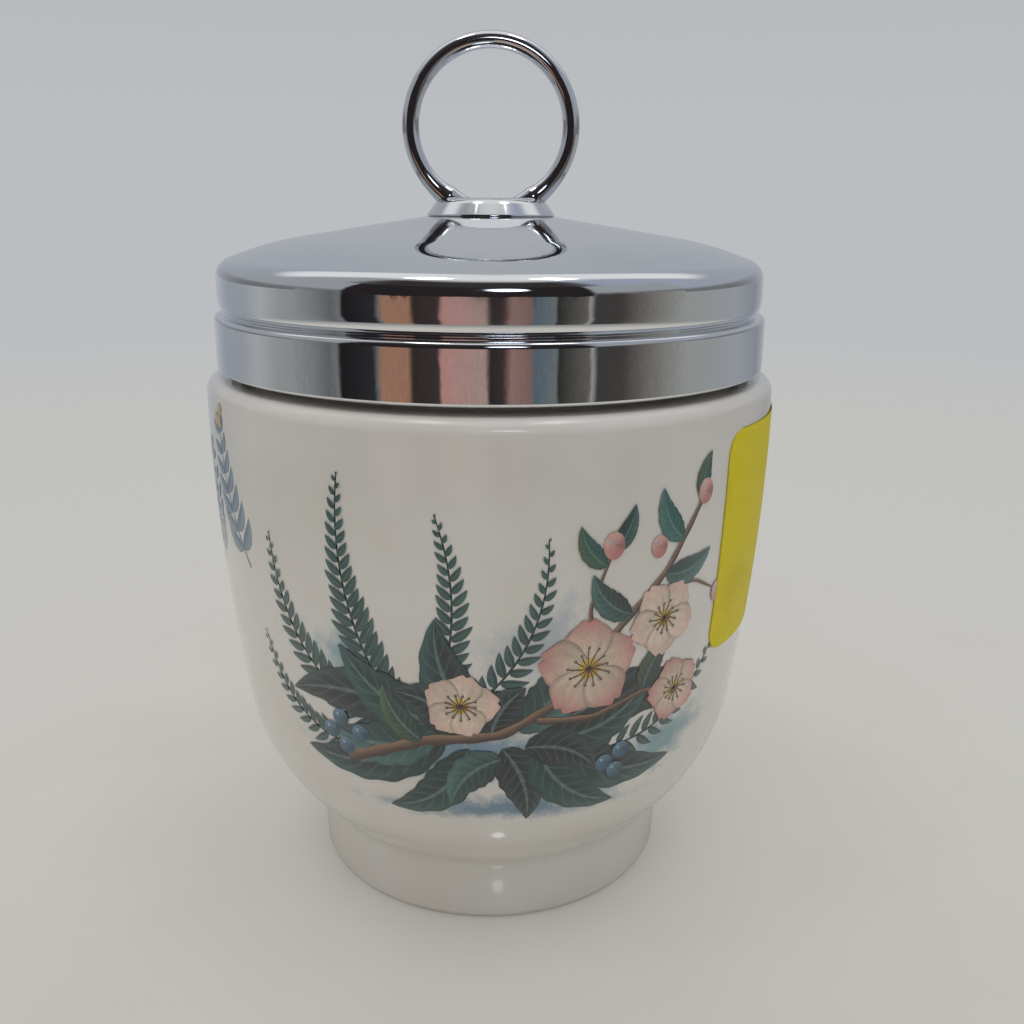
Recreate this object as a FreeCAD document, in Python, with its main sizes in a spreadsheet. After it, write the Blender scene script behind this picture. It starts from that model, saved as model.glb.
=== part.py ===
import FreeCAD, Part
import math
import os
import Sketcher

# A one-egg coddler: a porcelain cup with a threaded neck, closed by a chromed screw lid
# that has a ring on top to lift it by. Millimetres. The origin is the middle of the foot's
# underside, +Z is up and -Y is the front.

# Driving sizes
SIZES = {
    # the cup's outside, from its widest part; each draw is how far a place lies inside that
    "belly_radius": 27.5,
    "foot_draw": 9.3,
    "heel_draw": 6.09,
    "knee_draw": 2.06,
    "ledge_width": 3.95,
    "ledge_height": 51.4,
    "belly_drop": 2.4,
    "knee_rise": 12.99,
    "heel_rise": 3.43,
    "ledge_round": 1.3,
    # the foot ring that the cup stands on
    "foot_height": 6.7,
    "foot_flare": 0.2,
    "foot_width": 3.5,
    "foot_recess": 3.8,
    "foot_round": 0.9,
    "foot_corner_round": 1.6,
    # the thickness of the porcelain
    "wall": 3.0,
    "base_wall": 3.7,
    "shoulder_wall": 2.5,
    "shoulder_bend": 4.1,
    # the neck
    "neck_height": 8.7,
    "neck_wall": 2.6,
    "neck_foot_round": 0.4,
    "lip_round": 0.9,
    # the coarse thread between the neck and the lid's liner
    "thread_lead": 4.0,
    "thread_depth": 0.65,
    "thread_crest": 0.9,
    "thread_base": 1.9,
    "thread_bite": 0.25,
    "thread_gap": 0.2,
    "thread_start": 1.9,
    # the flat seal between the lip and the liner
    "seal_thickness": 1.0,
    "seal_gap": 0.05,
    "seal_side_gap": 0.15,
    # the pressed lid: its sheet, its bands and its groove
    "fit_gap": 0.05,
    "liner_wall": 0.45,
    "shell_wall": 0.45,
    "skirt_gap": 0.8,
    "skirt_height": 4.5,
    "skirt_step": 0.4,
    "skirt_round": 0.7,
    "lip_turn": 1.2,
    "groove_height": 0.9,
    "groove_depth": 0.65,
    "groove_round": 0.5,
    "rim_round": 0.8,
    # the dome: a shallow cone that bends over to the rim
    "dome_slope": 0.154,
    "dome_shoulder": 5.2,
    "dome_shoulder_rise": 1.45,
    # the lifting ring, open at its foot, where its ends are brazed in
    "wire": 1.6,
    "ring_inside": 13.5,
    "ring_opening": 50.0,
    "braze_gap": 0.02,
    # the flared collar under the ring, and its tenon through the lid
    "collar_base_radius": 6.1,
    "collar_waist_radius": 4.85,
    "collar_top_radius": 5.15,
    "collar_edge": 0.12,
    "collar_bead": 0.75,
    "collar_side": 0.35,
    "saddle_rise": 0.4,
    "tenon_radius": 1.5,
    "tenon_gap": 0.05,
    "head_radius": 2.6,
    "head_height": 0.7,
    "head_round": 0.4,
    "washer_radius": 4.5,
    "washer_thickness": 0.6,
    # the paper label on the cup's right side
    "label_azimuth": 78.5,
    "label_width": 28.5,
    "label_height": 20.6,
    "label_drop": 2.7,
    "label_thickness": 0.12,
    "label_glue": 0.02,
    "label_round": 2.2,
}

# Sizes that follow from the driving ones, as the sheet works them out
FOLLOWING = {
    # the cup's outside
    "foot_top_radius": "belly_radius - foot_draw + foot_flare",
    "foot_radius": "belly_radius - foot_draw",
    "foot_inner_radius": "foot_radius - foot_width",
    "heel_radius": "belly_radius - heel_draw",
    "heel_height": "foot_height + heel_rise",
    "knee_radius": "belly_radius - knee_draw",
    "knee_height": "foot_height + knee_rise",
    "belly_height": "ledge_height - belly_drop",
    "neck_radius": "belly_radius - ledge_width",
    "neck_top": "ledge_height + neck_height",
    "lip_edge_round": "min(lip_round; 0.4 * neck_wall)",
    # the cup's inside
    "floor_height": "foot_recess + base_wall",
    "neck_bore": "neck_radius - neck_wall",
    "bore_end": "ledge_height - shoulder_wall",
    "belly_bore": "belly_radius - wall",
    "belly_bore_height": "bore_end - shoulder_bend",
    "knee_bore": "knee_radius - wall",
    # the ridge on the neck
    "ridge_middle": "ledge_height + thread_start",
    "ridge_climb": "neck_top - lip_round - thread_base / 2 - ridge_middle",
    "ridge_foot": "neck_radius - thread_bite",
    "ridge_crest": "neck_radius + thread_depth",
    "ridge_foot_low": "ridge_middle - thread_base / 2",
    "ridge_crest_low": "ridge_middle - thread_crest / 2",
    "ridge_crest_high": "ridge_middle + thread_crest / 2",
    "ridge_foot_high": "ridge_middle + thread_base / 2",
    # heights that stack up from the cup's lip to the rim of the lid
    "seal_bottom": "neck_top + seal_gap",
    "seal_top": "seal_bottom + seal_thickness",
    "liner_ceiling": "seal_top + seal_gap",
    "liner_top": "liner_ceiling + liner_wall",
    "rim_height": "liner_top + fit_gap + shell_wall",
    # radii that stack up from the thread to the outside of the lid
    "liner_root": "ridge_crest + thread_gap",
    "seal_outer": "liner_root - seal_side_gap",
    "liner_outer": "liner_root + liner_wall",
    "groove_inner": "liner_outer + fit_gap",
    "groove_radius": "groove_inner + shell_wall",
    "lid_radius": "groove_radius + groove_depth",
    "lid_inner": "lid_radius - shell_wall",
    "skirt_radius": "lid_radius + skirt_step",
    "skirt_inner": "skirt_radius - shell_wall",
    "lip_inner": "skirt_radius - lip_turn",
    "liner_foot_radius": "skirt_inner - fit_gap",
    # heights of the lid's bands
    "lid_bottom": "ledge_height + skirt_gap",
    "lip_top": "lid_bottom + shell_wall",
    "groove_bottom": "lid_bottom + skirt_height",
    "groove_top": "groove_bottom + groove_height",
    "skirt_ceiling": "groove_bottom - shell_wall",
    "band_floor": "groove_top + shell_wall",
    "groove_edge_round": "min(groove_round; 0.75 * groove_depth)",
    # the liner's foot and the ridge inside it
    "liner_bottom": "lip_top + fit_gap",
    "liner_foot_top": "liner_bottom + liner_wall",
    "rib_middle": "liner_foot_top + thread_base / 2",
    "rib_climb": "seal_bottom - seal_side_gap - thread_base / 2 - rib_middle",
    "rib_foot": "liner_root + thread_bite",
    "rib_crest": "liner_root - thread_depth",
    "rib_foot_low": "rib_middle - thread_base / 2",
    "rib_crest_low": "rib_middle - thread_crest / 2",
    "rib_crest_high": "rib_middle + thread_crest / 2",
    "rib_foot_high": "rib_middle + thread_base / 2",
    "rib_phase": "360 * ((rib_middle - ridge_middle) / thread_lead + 0.5)",
    # dome
    "dome_drop": "shell_wall * sqrt(1 + dome_slope ^ 2)",
    "dome_knee_radius": "lid_radius - dome_shoulder",
    "dome_knee": "rim_height + dome_shoulder_rise",
    "dome_knee_under": "dome_knee - dome_drop",
    "rim_under": "rim_height - 0.7 * shell_wall",
    "dome_apex": "dome_knee + dome_slope * dome_knee_radius",
    "hole_radius": "tenon_radius + tenon_gap",
    "hole_edge": "dome_apex - dome_slope * hole_radius",
    "hole_edge_under": "hole_edge - dome_drop",
    # the lifting ring
    "ring_radius": "(ring_inside + wire) / 2",
    "saddle_height": "dome_apex + saddle_rise",
    "ring_height": "saddle_height + ring_inside / 2",
    "ring_turn": "360 - ring_opening",
    "ring_summit": "ring_height + ring_radius",
    "seat_wire": "wire + 2 * braze_gap",
    "seat_turn": "ring_turn + 360 * braze_gap / (pi * ring_radius)",
    # collar, tenon and washer, each seated along the dome's slope
    "collar_top": "saddle_height + collar_side",
    "collar_waist": "collar_top - collar_bead",
    "collar_seat": "dome_apex + braze_gap - dome_slope * collar_base_radius",
    "collar_base_top": "collar_seat + collar_edge",
    "collar_root": "dome_apex + braze_gap - dome_slope * tenon_radius",
    "washer_top_in": "hole_edge_under - braze_gap",
    "washer_top_out": "washer_top_in - dome_slope * (washer_radius - hole_radius)",
    "washer_bottom_in": "washer_top_in - washer_thickness",
    "washer_bottom_out": "washer_top_out - washer_thickness",
    "head_top_in": "washer_bottom_in - braze_gap + dome_slope * tenon_gap",
    "head_top_out": "head_top_in - dome_slope * (head_radius - tenon_radius)",
    "head_bottom": "head_top_out - head_height",
    # label
    "label_top": "ledge_height - label_drop",
    "label_bottom": "label_top - label_height",
    "label_right": "label_width / 2",
    "label_left": "0 - label_width / 2",
    "label_inner_knee": "knee_radius + label_glue",
    "label_inner_belly": "belly_radius + label_glue",
    "label_outer_knee": "label_inner_knee + label_thickness",
    "label_outer_belly": "label_inner_belly + label_thickness",
}

doc = FreeCAD.newDocument("egg_coddler")
sheet = doc.addObject("Spreadsheet::Sheet", "Sizes")
for row, name in enumerate(list(SIZES) + list(FOLLOWING), start=1):
    sheet.set(f"A{row}", name)
    sheet.setAlias(f"B{row}", name)
    sheet.set(f"B{row}", "=" + FOLLOWING[name] if name in FOLLOWING else str(SIZES[name]))
doc.recompute()


def size(name):
    """The value of one cell of the sheet."""
    return float(sheet.get(name))


def origin_plane(body, role):
    """One of a body's own origin planes."""
    return next(plane for plane in body.Origin.OriginFeatures if plane.Role == role)


class Outline:
    """A closed outline in a body's XZ plane, drawn from point to point; points are pairs of cells."""

    def __init__(self, body, name, radius, height):
        self.sketch = body.newObject("Sketcher::SketchObject", name)
        self.sketch.AttachmentSupport = [(origin_plane(body, "XZ_Plane"), "")]
        self.sketch.MapMode = "FlatFace"
        self.start = (radius, height)
        self.here = self.point(radius, height)
        self.heading = None
        self.last = None

    def point(self, radius, height):
        x = 0.0 if radius == "axis" else size(radius)
        z = 0.0 if height == "ground" else size(height)
        return FreeCAD.Vector(x, z, 0)

    def fix(self, shape, end, radius, height):
        """Hold one end of a segment at a radius and a height, each given by a cell."""
        for cell, kind, zero_line in ((radius, "DistanceX", -2), (height, "DistanceY", -1)):
            if cell in ("axis", "ground"):
                self.sketch.addConstraint(Sketcher.Constraint("PointOnObject", shape, end, zero_line))
            elif cell is not None:
                rule = Sketcher.Constraint(kind, -1, 1, shape, end, size(cell))
                index = self.sketch.addConstraint(rule)
                self.sketch.setExpression(f"Constraints[{index}]", f"Sizes.{cell}")

    def join(self, shape, start, smooth):
        """Join a new segment to the last one, with or without a corner."""
        if self.last is None:
            self.fix(shape, start, *self.start)
            self.first = (shape, start)
        else:
            kind = "Tangent" if smooth else "Coincident"
            self.sketch.addConstraint(Sketcher.Constraint(kind, *self.last, shape, start))

    def line(self, radius, height, smooth=False):
        there = self.point(radius, height)
        shape = self.sketch.addGeometry(Part.LineSegment(self.here, there), False)
        self.join(shape, 1, smooth)
        self.fix(shape, 2, radius, height)
        self.heading = (there - self.here).normalize()
        self.here = there
        self.last = (shape, 2)

    def arc(self, centre, there, radius, height, smooth):
        """Add an arc about a centre, on the side that the outline is heading for."""
        spoke = self.here - centre
        far_spoke = there - centre
        anticlockwise = spoke.x * self.heading.y - spoke.y * self.heading.x > 0
        first, second = (spoke, far_spoke) if anticlockwise else (far_spoke, spoke)
        angles = [math.atan2(side.y, side.x) for side in (first, second)]
        circle = Part.Circle(centre, FreeCAD.Vector(0, 0, 1), spoke.Length)
        shape = self.sketch.addGeometry(Part.ArcOfCircle(circle, *angles), False)
        start, end = (1, 2) if anticlockwise else (2, 1)
        self.join(shape, start, smooth)
        self.fix(shape, end, radius, height)
        turn = 1 if anticlockwise else -1
        self.heading = FreeCAD.Vector(-far_spoke.y * turn, far_spoke.x * turn, 0).normalize()
        self.here = there
        self.last = (shape, end)
        return shape, end

    def smooth_arc(self, radius, height):
        """An arc that runs on from the last segment without a corner, to a given point."""
        there = self.point(radius, height)
        normal = FreeCAD.Vector(-self.heading.y, self.heading.x, 0)
        chord = there - self.here
        reach = chord.Length ** 2 / (2 * chord.dot(normal))
        self.arc(self.here + normal * reach, there, radius, height, True)

    def arc_towards(self, radius, height, heading):
        """An arc that ends at a given point, heading the given way there."""
        there = self.point(radius, height)
        normal = FreeCAD.Vector(-heading.y, heading.x, 0)
        back = self.here - there
        reach = back.Length ** 2 / (2 * back.dot(normal))
        centre = there + normal * reach
        spoke = self.here - centre
        turn_sign = 1 if reach > 0 else -1
        self.heading = FreeCAD.Vector(-spoke.y * turn_sign, spoke.x * turn_sign, 0)
        return self.arc(centre, there, radius, height, False)

    def upright_arc(self, radius, height, heading):
        """An arc that ends upright, its centre level with the given point."""
        shape, end = self.arc_towards(radius, height, FreeCAD.Vector(0, heading, 0))
        self.sketch.addConstraint(Sketcher.Constraint("Horizontal", shape, 3, shape, end))

    def arc_into_line(self, radius, height, next_radius, next_height):
        """An arc that runs into the line after it without a corner, and that line."""
        onward = self.point(next_radius, next_height) - self.point(radius, height)
        self.arc_towards(radius, height, onward.normalize())
        self.line(next_radius, next_height, smooth=True)

    def floor_arc(self, height):
        """An arc that runs on without a corner until it is level, at a given height."""
        normal = FreeCAD.Vector(-self.heading.y, self.heading.x, 0)
        normal = normal if normal.x < 0 else normal * -1
        reach = (self.here.y - size(height)) / (1 - normal.y)
        centre = self.here + normal * reach
        there = FreeCAD.Vector(centre.x, size(height), 0)
        self.arc(centre, there, None, height, True)

    def level_line(self):
        """A level line to the axis, running on from an arc."""
        there = FreeCAD.Vector(0, self.here.y, 0)
        shape = self.sketch.addGeometry(Part.LineSegment(self.here, there), False)
        self.join(shape, 1, True)
        self.sketch.addConstraint(Sketcher.Constraint("Horizontal", shape))
        self.fix(shape, 2, "axis", None)
        self.here = there
        self.last = (shape, 2)

    def close(self):
        """A line back to the first point."""
        there = self.point(*self.start)
        shape = self.sketch.addGeometry(Part.LineSegment(self.here, there), False)
        self.join(shape, 1, False)
        self.sketch.addConstraint(Sketcher.Constraint("Coincident", shape, 2, *self.first))
        return self.sketch


def new_body(name):
    body = doc.addObject("PartDesign::Body", name)
    body.Label = name
    return body


def turn(body, kind, name, sketch):
    """Turn a sketch all the way round the axis, to add to a body or cut from it."""
    feature = body.newObject(f"PartDesign::{kind}", name)
    feature.Profile = sketch
    feature.ReferenceAxis = (sketch, ["V_Axis"])
    feature.Angle = 360
    doc.recompute()
    return feature


def round_edges(body, name, rings, radius):
    """Round the circular edges that lie at the given radii and heights."""
    base = body.Tip
    names = []
    for ring_radius, ring_height in rings:
        target = (size(ring_radius), 0.0 if ring_height == "ground" else size(ring_height))
        for number, edge in enumerate(base.Shape.Edges, start=1):
            if not isinstance(edge.Curve, Part.Circle):
                continue
            if abs(edge.Curve.Center.x) > 1e-4 or abs(edge.Curve.Center.y) > 1e-4:
                continue
            here = (edge.Curve.Radius, edge.Curve.Center.z)
            if math.dist(here, target) < 1e-4:
                names.append(f"Edge{number}")
    if len(names) != len(rings):
        raise ValueError(f"{name}: found {len(names)} edges for {len(rings)} rings")
    fillet = body.newObject("PartDesign::Fillet", name)
    fillet.Base = (base, names)
    fillet.Radius = size(radius)
    fillet.setExpression("Radius", f"Sizes.{radius}")
    doc.recompute()


def add_thread(body, name, part, climb):
    """Add a thread's ridge: a helix of one tapered section, let a little into its wall."""
    section = Outline(body, f"{name}_section", f"{part}_foot", f"{part}_foot_low")
    section.line(f"{part}_crest", f"{part}_crest_low")
    section.line(f"{part}_crest", f"{part}_crest_high")
    section.line(f"{part}_foot", f"{part}_foot_high")
    sketch = section.close()
    helix = body.newObject("PartDesign::AdditiveHelix", name)
    helix.Profile = sketch
    helix.ReferenceAxis = (sketch, ["V_Axis"])
    helix.Mode = "pitch-height-angle"
    helix.LeftHanded = False
    for prop, cell in (("Pitch", "thread_lead"), ("Height", climb)):
        setattr(helix, prop, size(cell))
        helix.setExpression(prop, f"Sizes.{cell}")
    doc.recompute()


def make_cup():
    """The porcelain cup: foot ring, bowl, shoulder ledge, neck and the thread moulded on it."""
    body = new_body("cup")
    outside = Outline(body, "cup_outside", "axis", "neck_top")
    outside.line("neck_radius", "neck_top")
    outside.line("neck_radius", "ledge_height")
    outside.line("belly_radius", "ledge_height")
    outside.line("belly_radius", "belly_height")
    outside.smooth_arc("knee_radius", "knee_height")
    outside.smooth_arc("heel_radius", "heel_height")
    outside.smooth_arc("foot_top_radius", "foot_height")
    outside.line("foot_radius", "ground")
    outside.line("foot_inner_radius", "ground")
    outside.line("foot_inner_radius", "foot_recess")
    outside.line("axis", "foot_recess")
    turn(body, "Revolution", "cup_form", outside.close())
    inside = Outline(body, "cup_inside", "axis", "neck_top")
    inside.line("neck_bore", "neck_top")
    inside.line("neck_bore", "bore_end")
    inside.upright_arc("belly_bore", "belly_bore_height", -1)
    inside.smooth_arc("knee_bore", "knee_height")
    inside.floor_arc("floor_height")
    inside.level_line()
    turn(body, "Groove", "cup_hollow", inside.close())
    round_edges(body, "lip_rounding", [("neck_radius", "neck_top"), ("neck_bore", "neck_top")],
                "lip_edge_round")
    round_edges(body, "bore_rounding", [("neck_bore", "bore_end")], "lip_edge_round")
    round_edges(body, "ledge_rounding", [("belly_radius", "ledge_height")], "ledge_round")
    round_edges(body, "neck_foot_rounding", [("neck_radius", "ledge_height")], "neck_foot_round")
    round_edges(body, "foot_corner", [("foot_top_radius", "foot_height")], "foot_corner_round")
    round_edges(body, "foot_rounding", [("foot_radius", "ground"), ("foot_inner_radius", "ground"),
                ("foot_inner_radius", "foot_recess")], "foot_round")
    add_thread(body, "neck_thread", "ridge", "ridge_climb")
    return body


def make_lid_shell():
    """The pressed cover: dome, upper band, rolled groove, skirt and turned-in lower edge."""
    body = new_body("lid_shell")
    sheet_metal = Outline(body, "shell_section", "hole_radius", "hole_edge")
    sheet_metal.line("dome_knee_radius", "dome_knee")
    sheet_metal.smooth_arc("lid_radius", "rim_height")
    sheet_metal.line("lid_radius", "groove_top")
    sheet_metal.line("groove_radius", "groove_top")
    sheet_metal.line("groove_radius", "groove_bottom")
    sheet_metal.line("skirt_radius", "groove_bottom")
    sheet_metal.line("skirt_radius", "lid_bottom")
    sheet_metal.line("lip_inner", "lid_bottom")
    sheet_metal.line("lip_inner", "lip_top")
    sheet_metal.line("skirt_inner", "lip_top")
    sheet_metal.line("skirt_inner", "skirt_ceiling")
    sheet_metal.line("groove_inner", "skirt_ceiling")
    sheet_metal.line("groove_inner", "band_floor")
    sheet_metal.line("lid_inner", "band_floor")
    sheet_metal.line("lid_inner", "rim_under")
    sheet_metal.arc_into_line("dome_knee_radius", "dome_knee_under", "hole_radius", "hole_edge_under")
    turn(body, "Revolution", "shell_form", sheet_metal.close())
    round_edges(body, "rim_rounding", [("lid_radius", "rim_height")], "rim_round")
    round_edges(body, "skirt_rounding", [("skirt_radius", "groove_bottom"),
                ("skirt_radius", "lid_bottom")], "skirt_round")
    round_edges(body, "band_rounding", [("lid_radius", "groove_top")], "groove_edge_round")
    return body


def make_thread_liner():
    """The sleeve inside the lid: a top flange over the seal, the thread, a foot on the lid's lip."""
    body = new_body("thread_liner")
    sleeve = Outline(body, "liner_section", "neck_bore", "liner_top")
    sleeve.line("liner_outer", "liner_top")
    sleeve.line("liner_outer", "liner_foot_top")
    sleeve.line("liner_foot_radius", "liner_foot_top")
    sleeve.line("liner_foot_radius", "liner_bottom")
    sleeve.line("liner_root", "liner_bottom")
    sleeve.line("liner_root", "liner_ceiling")
    sleeve.line("neck_bore", "liner_ceiling")
    turn(body, "Revolution", "liner_form", sleeve.close())
    add_thread(body, "liner_thread", "rib", "rib_climb")
    body.setExpression("Placement.Rotation.Angle", "Sizes.rib_phase")
    return body


def make_seal_ring():
    """The flat ring that closes the joint between the cup's lip and the lid."""
    body = new_body("seal_ring")
    flat = Outline(body, "seal_section", "neck_bore", "seal_top")
    flat.line("seal_outer", "seal_top")
    flat.line("seal_outer", "seal_bottom")
    flat.line("neck_bore", "seal_bottom")
    turn(body, "Revolution", "seal_form", flat.close())
    return body


def bent_wire(name, thickness, sweep):
    """A round wire bent to the lifting ring's circle, open at the bottom."""
    body = new_body(name)
    sketch = body.newObject("Sketcher::SketchObject", f"{name}_section")
    sketch.AttachmentSupport = [(origin_plane(body, "YZ_Plane"), "")]
    sketch.MapMode = "FlatFace"
    centre = FreeCAD.Vector(0, size("ring_summit"), 0)
    circle = Part.Circle(centre, FreeCAD.Vector(0, 0, 1), size(thickness) / 2)
    wire = sketch.addGeometry(circle, False)
    middle = FreeCAD.Vector(0, size("ring_height"), 0)
    beside = middle + FreeCAD.Vector(size("wire"), 0, 0)
    axis = sketch.addGeometry(Part.LineSegment(middle, beside), True)
    sketch.addConstraint(Sketcher.Constraint("PointOnObject", wire, 3, -2))
    sketch.addConstraint(Sketcher.Constraint("PointOnObject", axis, 1, -2))
    sketch.addConstraint(Sketcher.Constraint("Horizontal", axis))
    rules = [
        (Sketcher.Constraint("DistanceY", -1, 1, wire, 3, centre.y), "ring_summit"),
        (Sketcher.Constraint("Diameter", wire, size(thickness)), thickness),
        (Sketcher.Constraint("DistanceY", -1, 1, axis, 1, middle.y), "ring_height"),
        (Sketcher.Constraint("DistanceX", axis, 1, axis, 2, size("wire")), "wire"),
    ]
    for rule, cell in rules:
        index = sketch.addConstraint(rule)
        sketch.setExpression(f"Constraints[{index}]", f"Sizes.{cell}")
    ring = body.newObject("PartDesign::Revolution", f"{name}_form")
    ring.Profile = sketch
    ring.ReferenceAxis = (sketch, ["Axis0"])
    ring.Midplane = True
    ring.Angle = size(sweep)
    ring.setExpression("Angle", f"Sizes.{sweep}")
    doc.recompute()
    return body


def make_lifting_ring():
    """The upright wire ring, open over the collar, where its two ends are brazed in."""
    return bent_wire("lifting_ring", "wire", "ring_turn")


def make_ring_foot():
    """The flared collar with its saddle, and the tenon whose peened head holds it to the lid."""
    body = new_body("collar_turning")
    turning = Outline(body, "collar_section", "axis", "collar_top")
    turning.line("collar_top_radius", "collar_top")
    turning.line("collar_waist_radius", "collar_waist")
    turning.line("collar_base_radius", "collar_base_top")
    turning.line("collar_base_radius", "collar_seat")
    turning.line("tenon_radius", "collar_root")
    turning.line("tenon_radius", "head_top_in")
    turning.line("head_radius", "head_top_out")
    turning.line("head_radius", "head_bottom")
    turning.line("axis", "head_bottom")
    turn(body, "Revolution", "collar_form", turning.close())
    round_edges(body, "head_rounding", [("head_radius", "head_bottom")], "head_round")
    saddle = doc.addObject("Part::Cylinder", "saddle_cutter")
    lying = FreeCAD.Rotation(FreeCAD.Vector(1, 0, 0), 90)
    saddle.Placement = FreeCAD.Placement(FreeCAD.Vector(), lying)
    saddle.setExpression("Radius", "Sizes.ring_inside / 2")
    saddle.setExpression("Height", "4 * Sizes.collar_top_radius")
    saddle.setExpression("Placement.Base.y", "2 * Sizes.collar_top_radius")
    saddle.setExpression("Placement.Base.z", "Sizes.ring_height")
    cutters = doc.addObject("Part::MultiFuse", "collar_cutters")
    cutters.Shapes = [saddle, bent_wire("wire_seat", "seat_wire", "seat_turn")]
    foot = doc.addObject("Part::Cut", "ring_foot")
    foot.Base = body
    foot.Tool = cutters
    foot.Label = "ring_foot"
    doc.recompute()
    return foot


def make_rivet_washer():
    """The washer under the dome, dished to lie against it."""
    body = new_body("rivet_washer")
    dish = Outline(body, "washer_section", "hole_radius", "washer_top_in")
    dish.line("washer_radius", "washer_top_out")
    dish.line("washer_radius", "washer_bottom_out")
    dish.line("hole_radius", "washer_bottom_in")
    turn(body, "Revolution", "washer_form", dish.close())
    return body


def make_price_sticker():
    """The paper label: a thin skin over the belly, cut to a rectangle with round corners."""
    skin = new_body("label_skin")
    strip = Outline(skin, "label_section", "label_inner_belly", "ledge_height")
    strip.line("label_inner_belly", "belly_height")
    strip.smooth_arc("label_inner_knee", "knee_height")
    strip.line("label_outer_knee", "knee_height")
    strip.arc_into_line("label_outer_belly", "belly_height", "label_outer_belly", "ledge_height")
    turn(skin, "Revolution", "label_form", strip.close())
    cutter = new_body("label_cutter")
    rectangle = Outline(cutter, "label_outline", "label_left", "label_bottom")
    rectangle.line("label_right", "label_bottom")
    rectangle.line("label_right", "label_top")
    rectangle.line("label_left", "label_top")
    pad = cutter.newObject("PartDesign::Pad", "label_block")
    pad.Profile = rectangle.close()
    pad.Length = 2 * size("belly_radius")
    pad.setExpression("Length", "2 * Sizes.belly_radius")
    doc.recompute()
    corners_across = [
        f"Edge{number}" for number, edge in enumerate(pad.Shape.Edges, start=1)
        if abs(edge.tangentAt(edge.FirstParameter).y) > 0.99
    ]
    rounding = cutter.newObject("PartDesign::Fillet", "label_corners")
    rounding.Base = (pad, corners_across)
    rounding.Radius = size("label_round")
    rounding.setExpression("Radius", "Sizes.label_round")
    cutter.setExpression("Placement.Rotation.Angle", "Sizes.label_azimuth")
    label = doc.addObject("Part::Common", "price_sticker")
    label.Base = skin
    label.Tool = cutter
    label.Label = "price_sticker"
    doc.recompute()
    return label


pieces = [
    make_cup(),
    make_lid_shell(),
    make_thread_liner(),
    make_seal_ring(),
    make_lifting_ring(),
    make_ring_foot(),
    make_rivet_washer(),
    make_price_sticker(),
]
doc.recompute()

for made in doc.Objects:
    if "Invalid" in made.State or "Error" in made.State:
        raise ValueError(f"{made.Label} is {made.State}")

os.makedirs("parts", exist_ok=True)
for piece in pieces:
    shape = piece.Shape
    if shape.isNull() or not shape.isValid() or not shape.Solids:
        raise ValueError(f"{piece.Label} has no valid solid")
    shape.exportStep(f"parts/{piece.Label}.step")
    box = shape.BoundBox
    print(f"{piece.Label}: {len(shape.Solids)} solid, {shape.Volume:.1f} mm3,"
          f" z {box.ZMin:.2f} to {box.ZMax:.2f}, {box.XLength:.2f} x {box.YLength:.2f} mm")
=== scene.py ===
# %% [markdown]
# # An egg coddler of painted china
#
# An egg coddler is a small china cup in which an egg is cooked in hot water. A chromed metal lid
# screws onto its neck, and a wire ring on the lid lifts the whole cup out of the pan.
#
# The solid model of the coddler is already built and packed. This lesson loads it as a fixed frame
# and dresses it: smooth china with a glaze, bright chrome, a painted spray of leaves and blossom,
# a paper price sticker, and then a table, a room to reflect, lamps and a camera.

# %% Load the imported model
import math
import random

import bmesh
import bpy
import numpy as np
from mathutils import Matrix, Vector


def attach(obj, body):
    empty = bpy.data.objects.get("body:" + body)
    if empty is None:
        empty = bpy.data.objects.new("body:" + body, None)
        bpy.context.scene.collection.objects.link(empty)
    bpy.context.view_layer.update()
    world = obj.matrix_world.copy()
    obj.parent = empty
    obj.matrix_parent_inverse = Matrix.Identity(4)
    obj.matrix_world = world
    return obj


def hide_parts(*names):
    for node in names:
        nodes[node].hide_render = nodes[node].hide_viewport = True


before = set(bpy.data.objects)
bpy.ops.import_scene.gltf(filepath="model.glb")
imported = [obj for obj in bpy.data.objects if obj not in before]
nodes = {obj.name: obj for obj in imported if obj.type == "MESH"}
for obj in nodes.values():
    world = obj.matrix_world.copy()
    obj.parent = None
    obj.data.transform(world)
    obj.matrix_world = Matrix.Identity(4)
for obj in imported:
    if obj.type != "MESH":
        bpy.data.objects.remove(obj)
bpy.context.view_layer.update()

MM = 0.001

# %% [markdown]
# ## Shader sums as plain Python
#
# A material is a small machine of nodes joined by wires. Wiring each sum by hand hides what it
# means, so the class below wraps one wire, and the signs + - * / add the node that does the sum.
# Numbers go through a Math node. Colours and directions go through Vector Math, because a Math
# node would turn a colour grey. Any other node comes from `make`.

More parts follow.
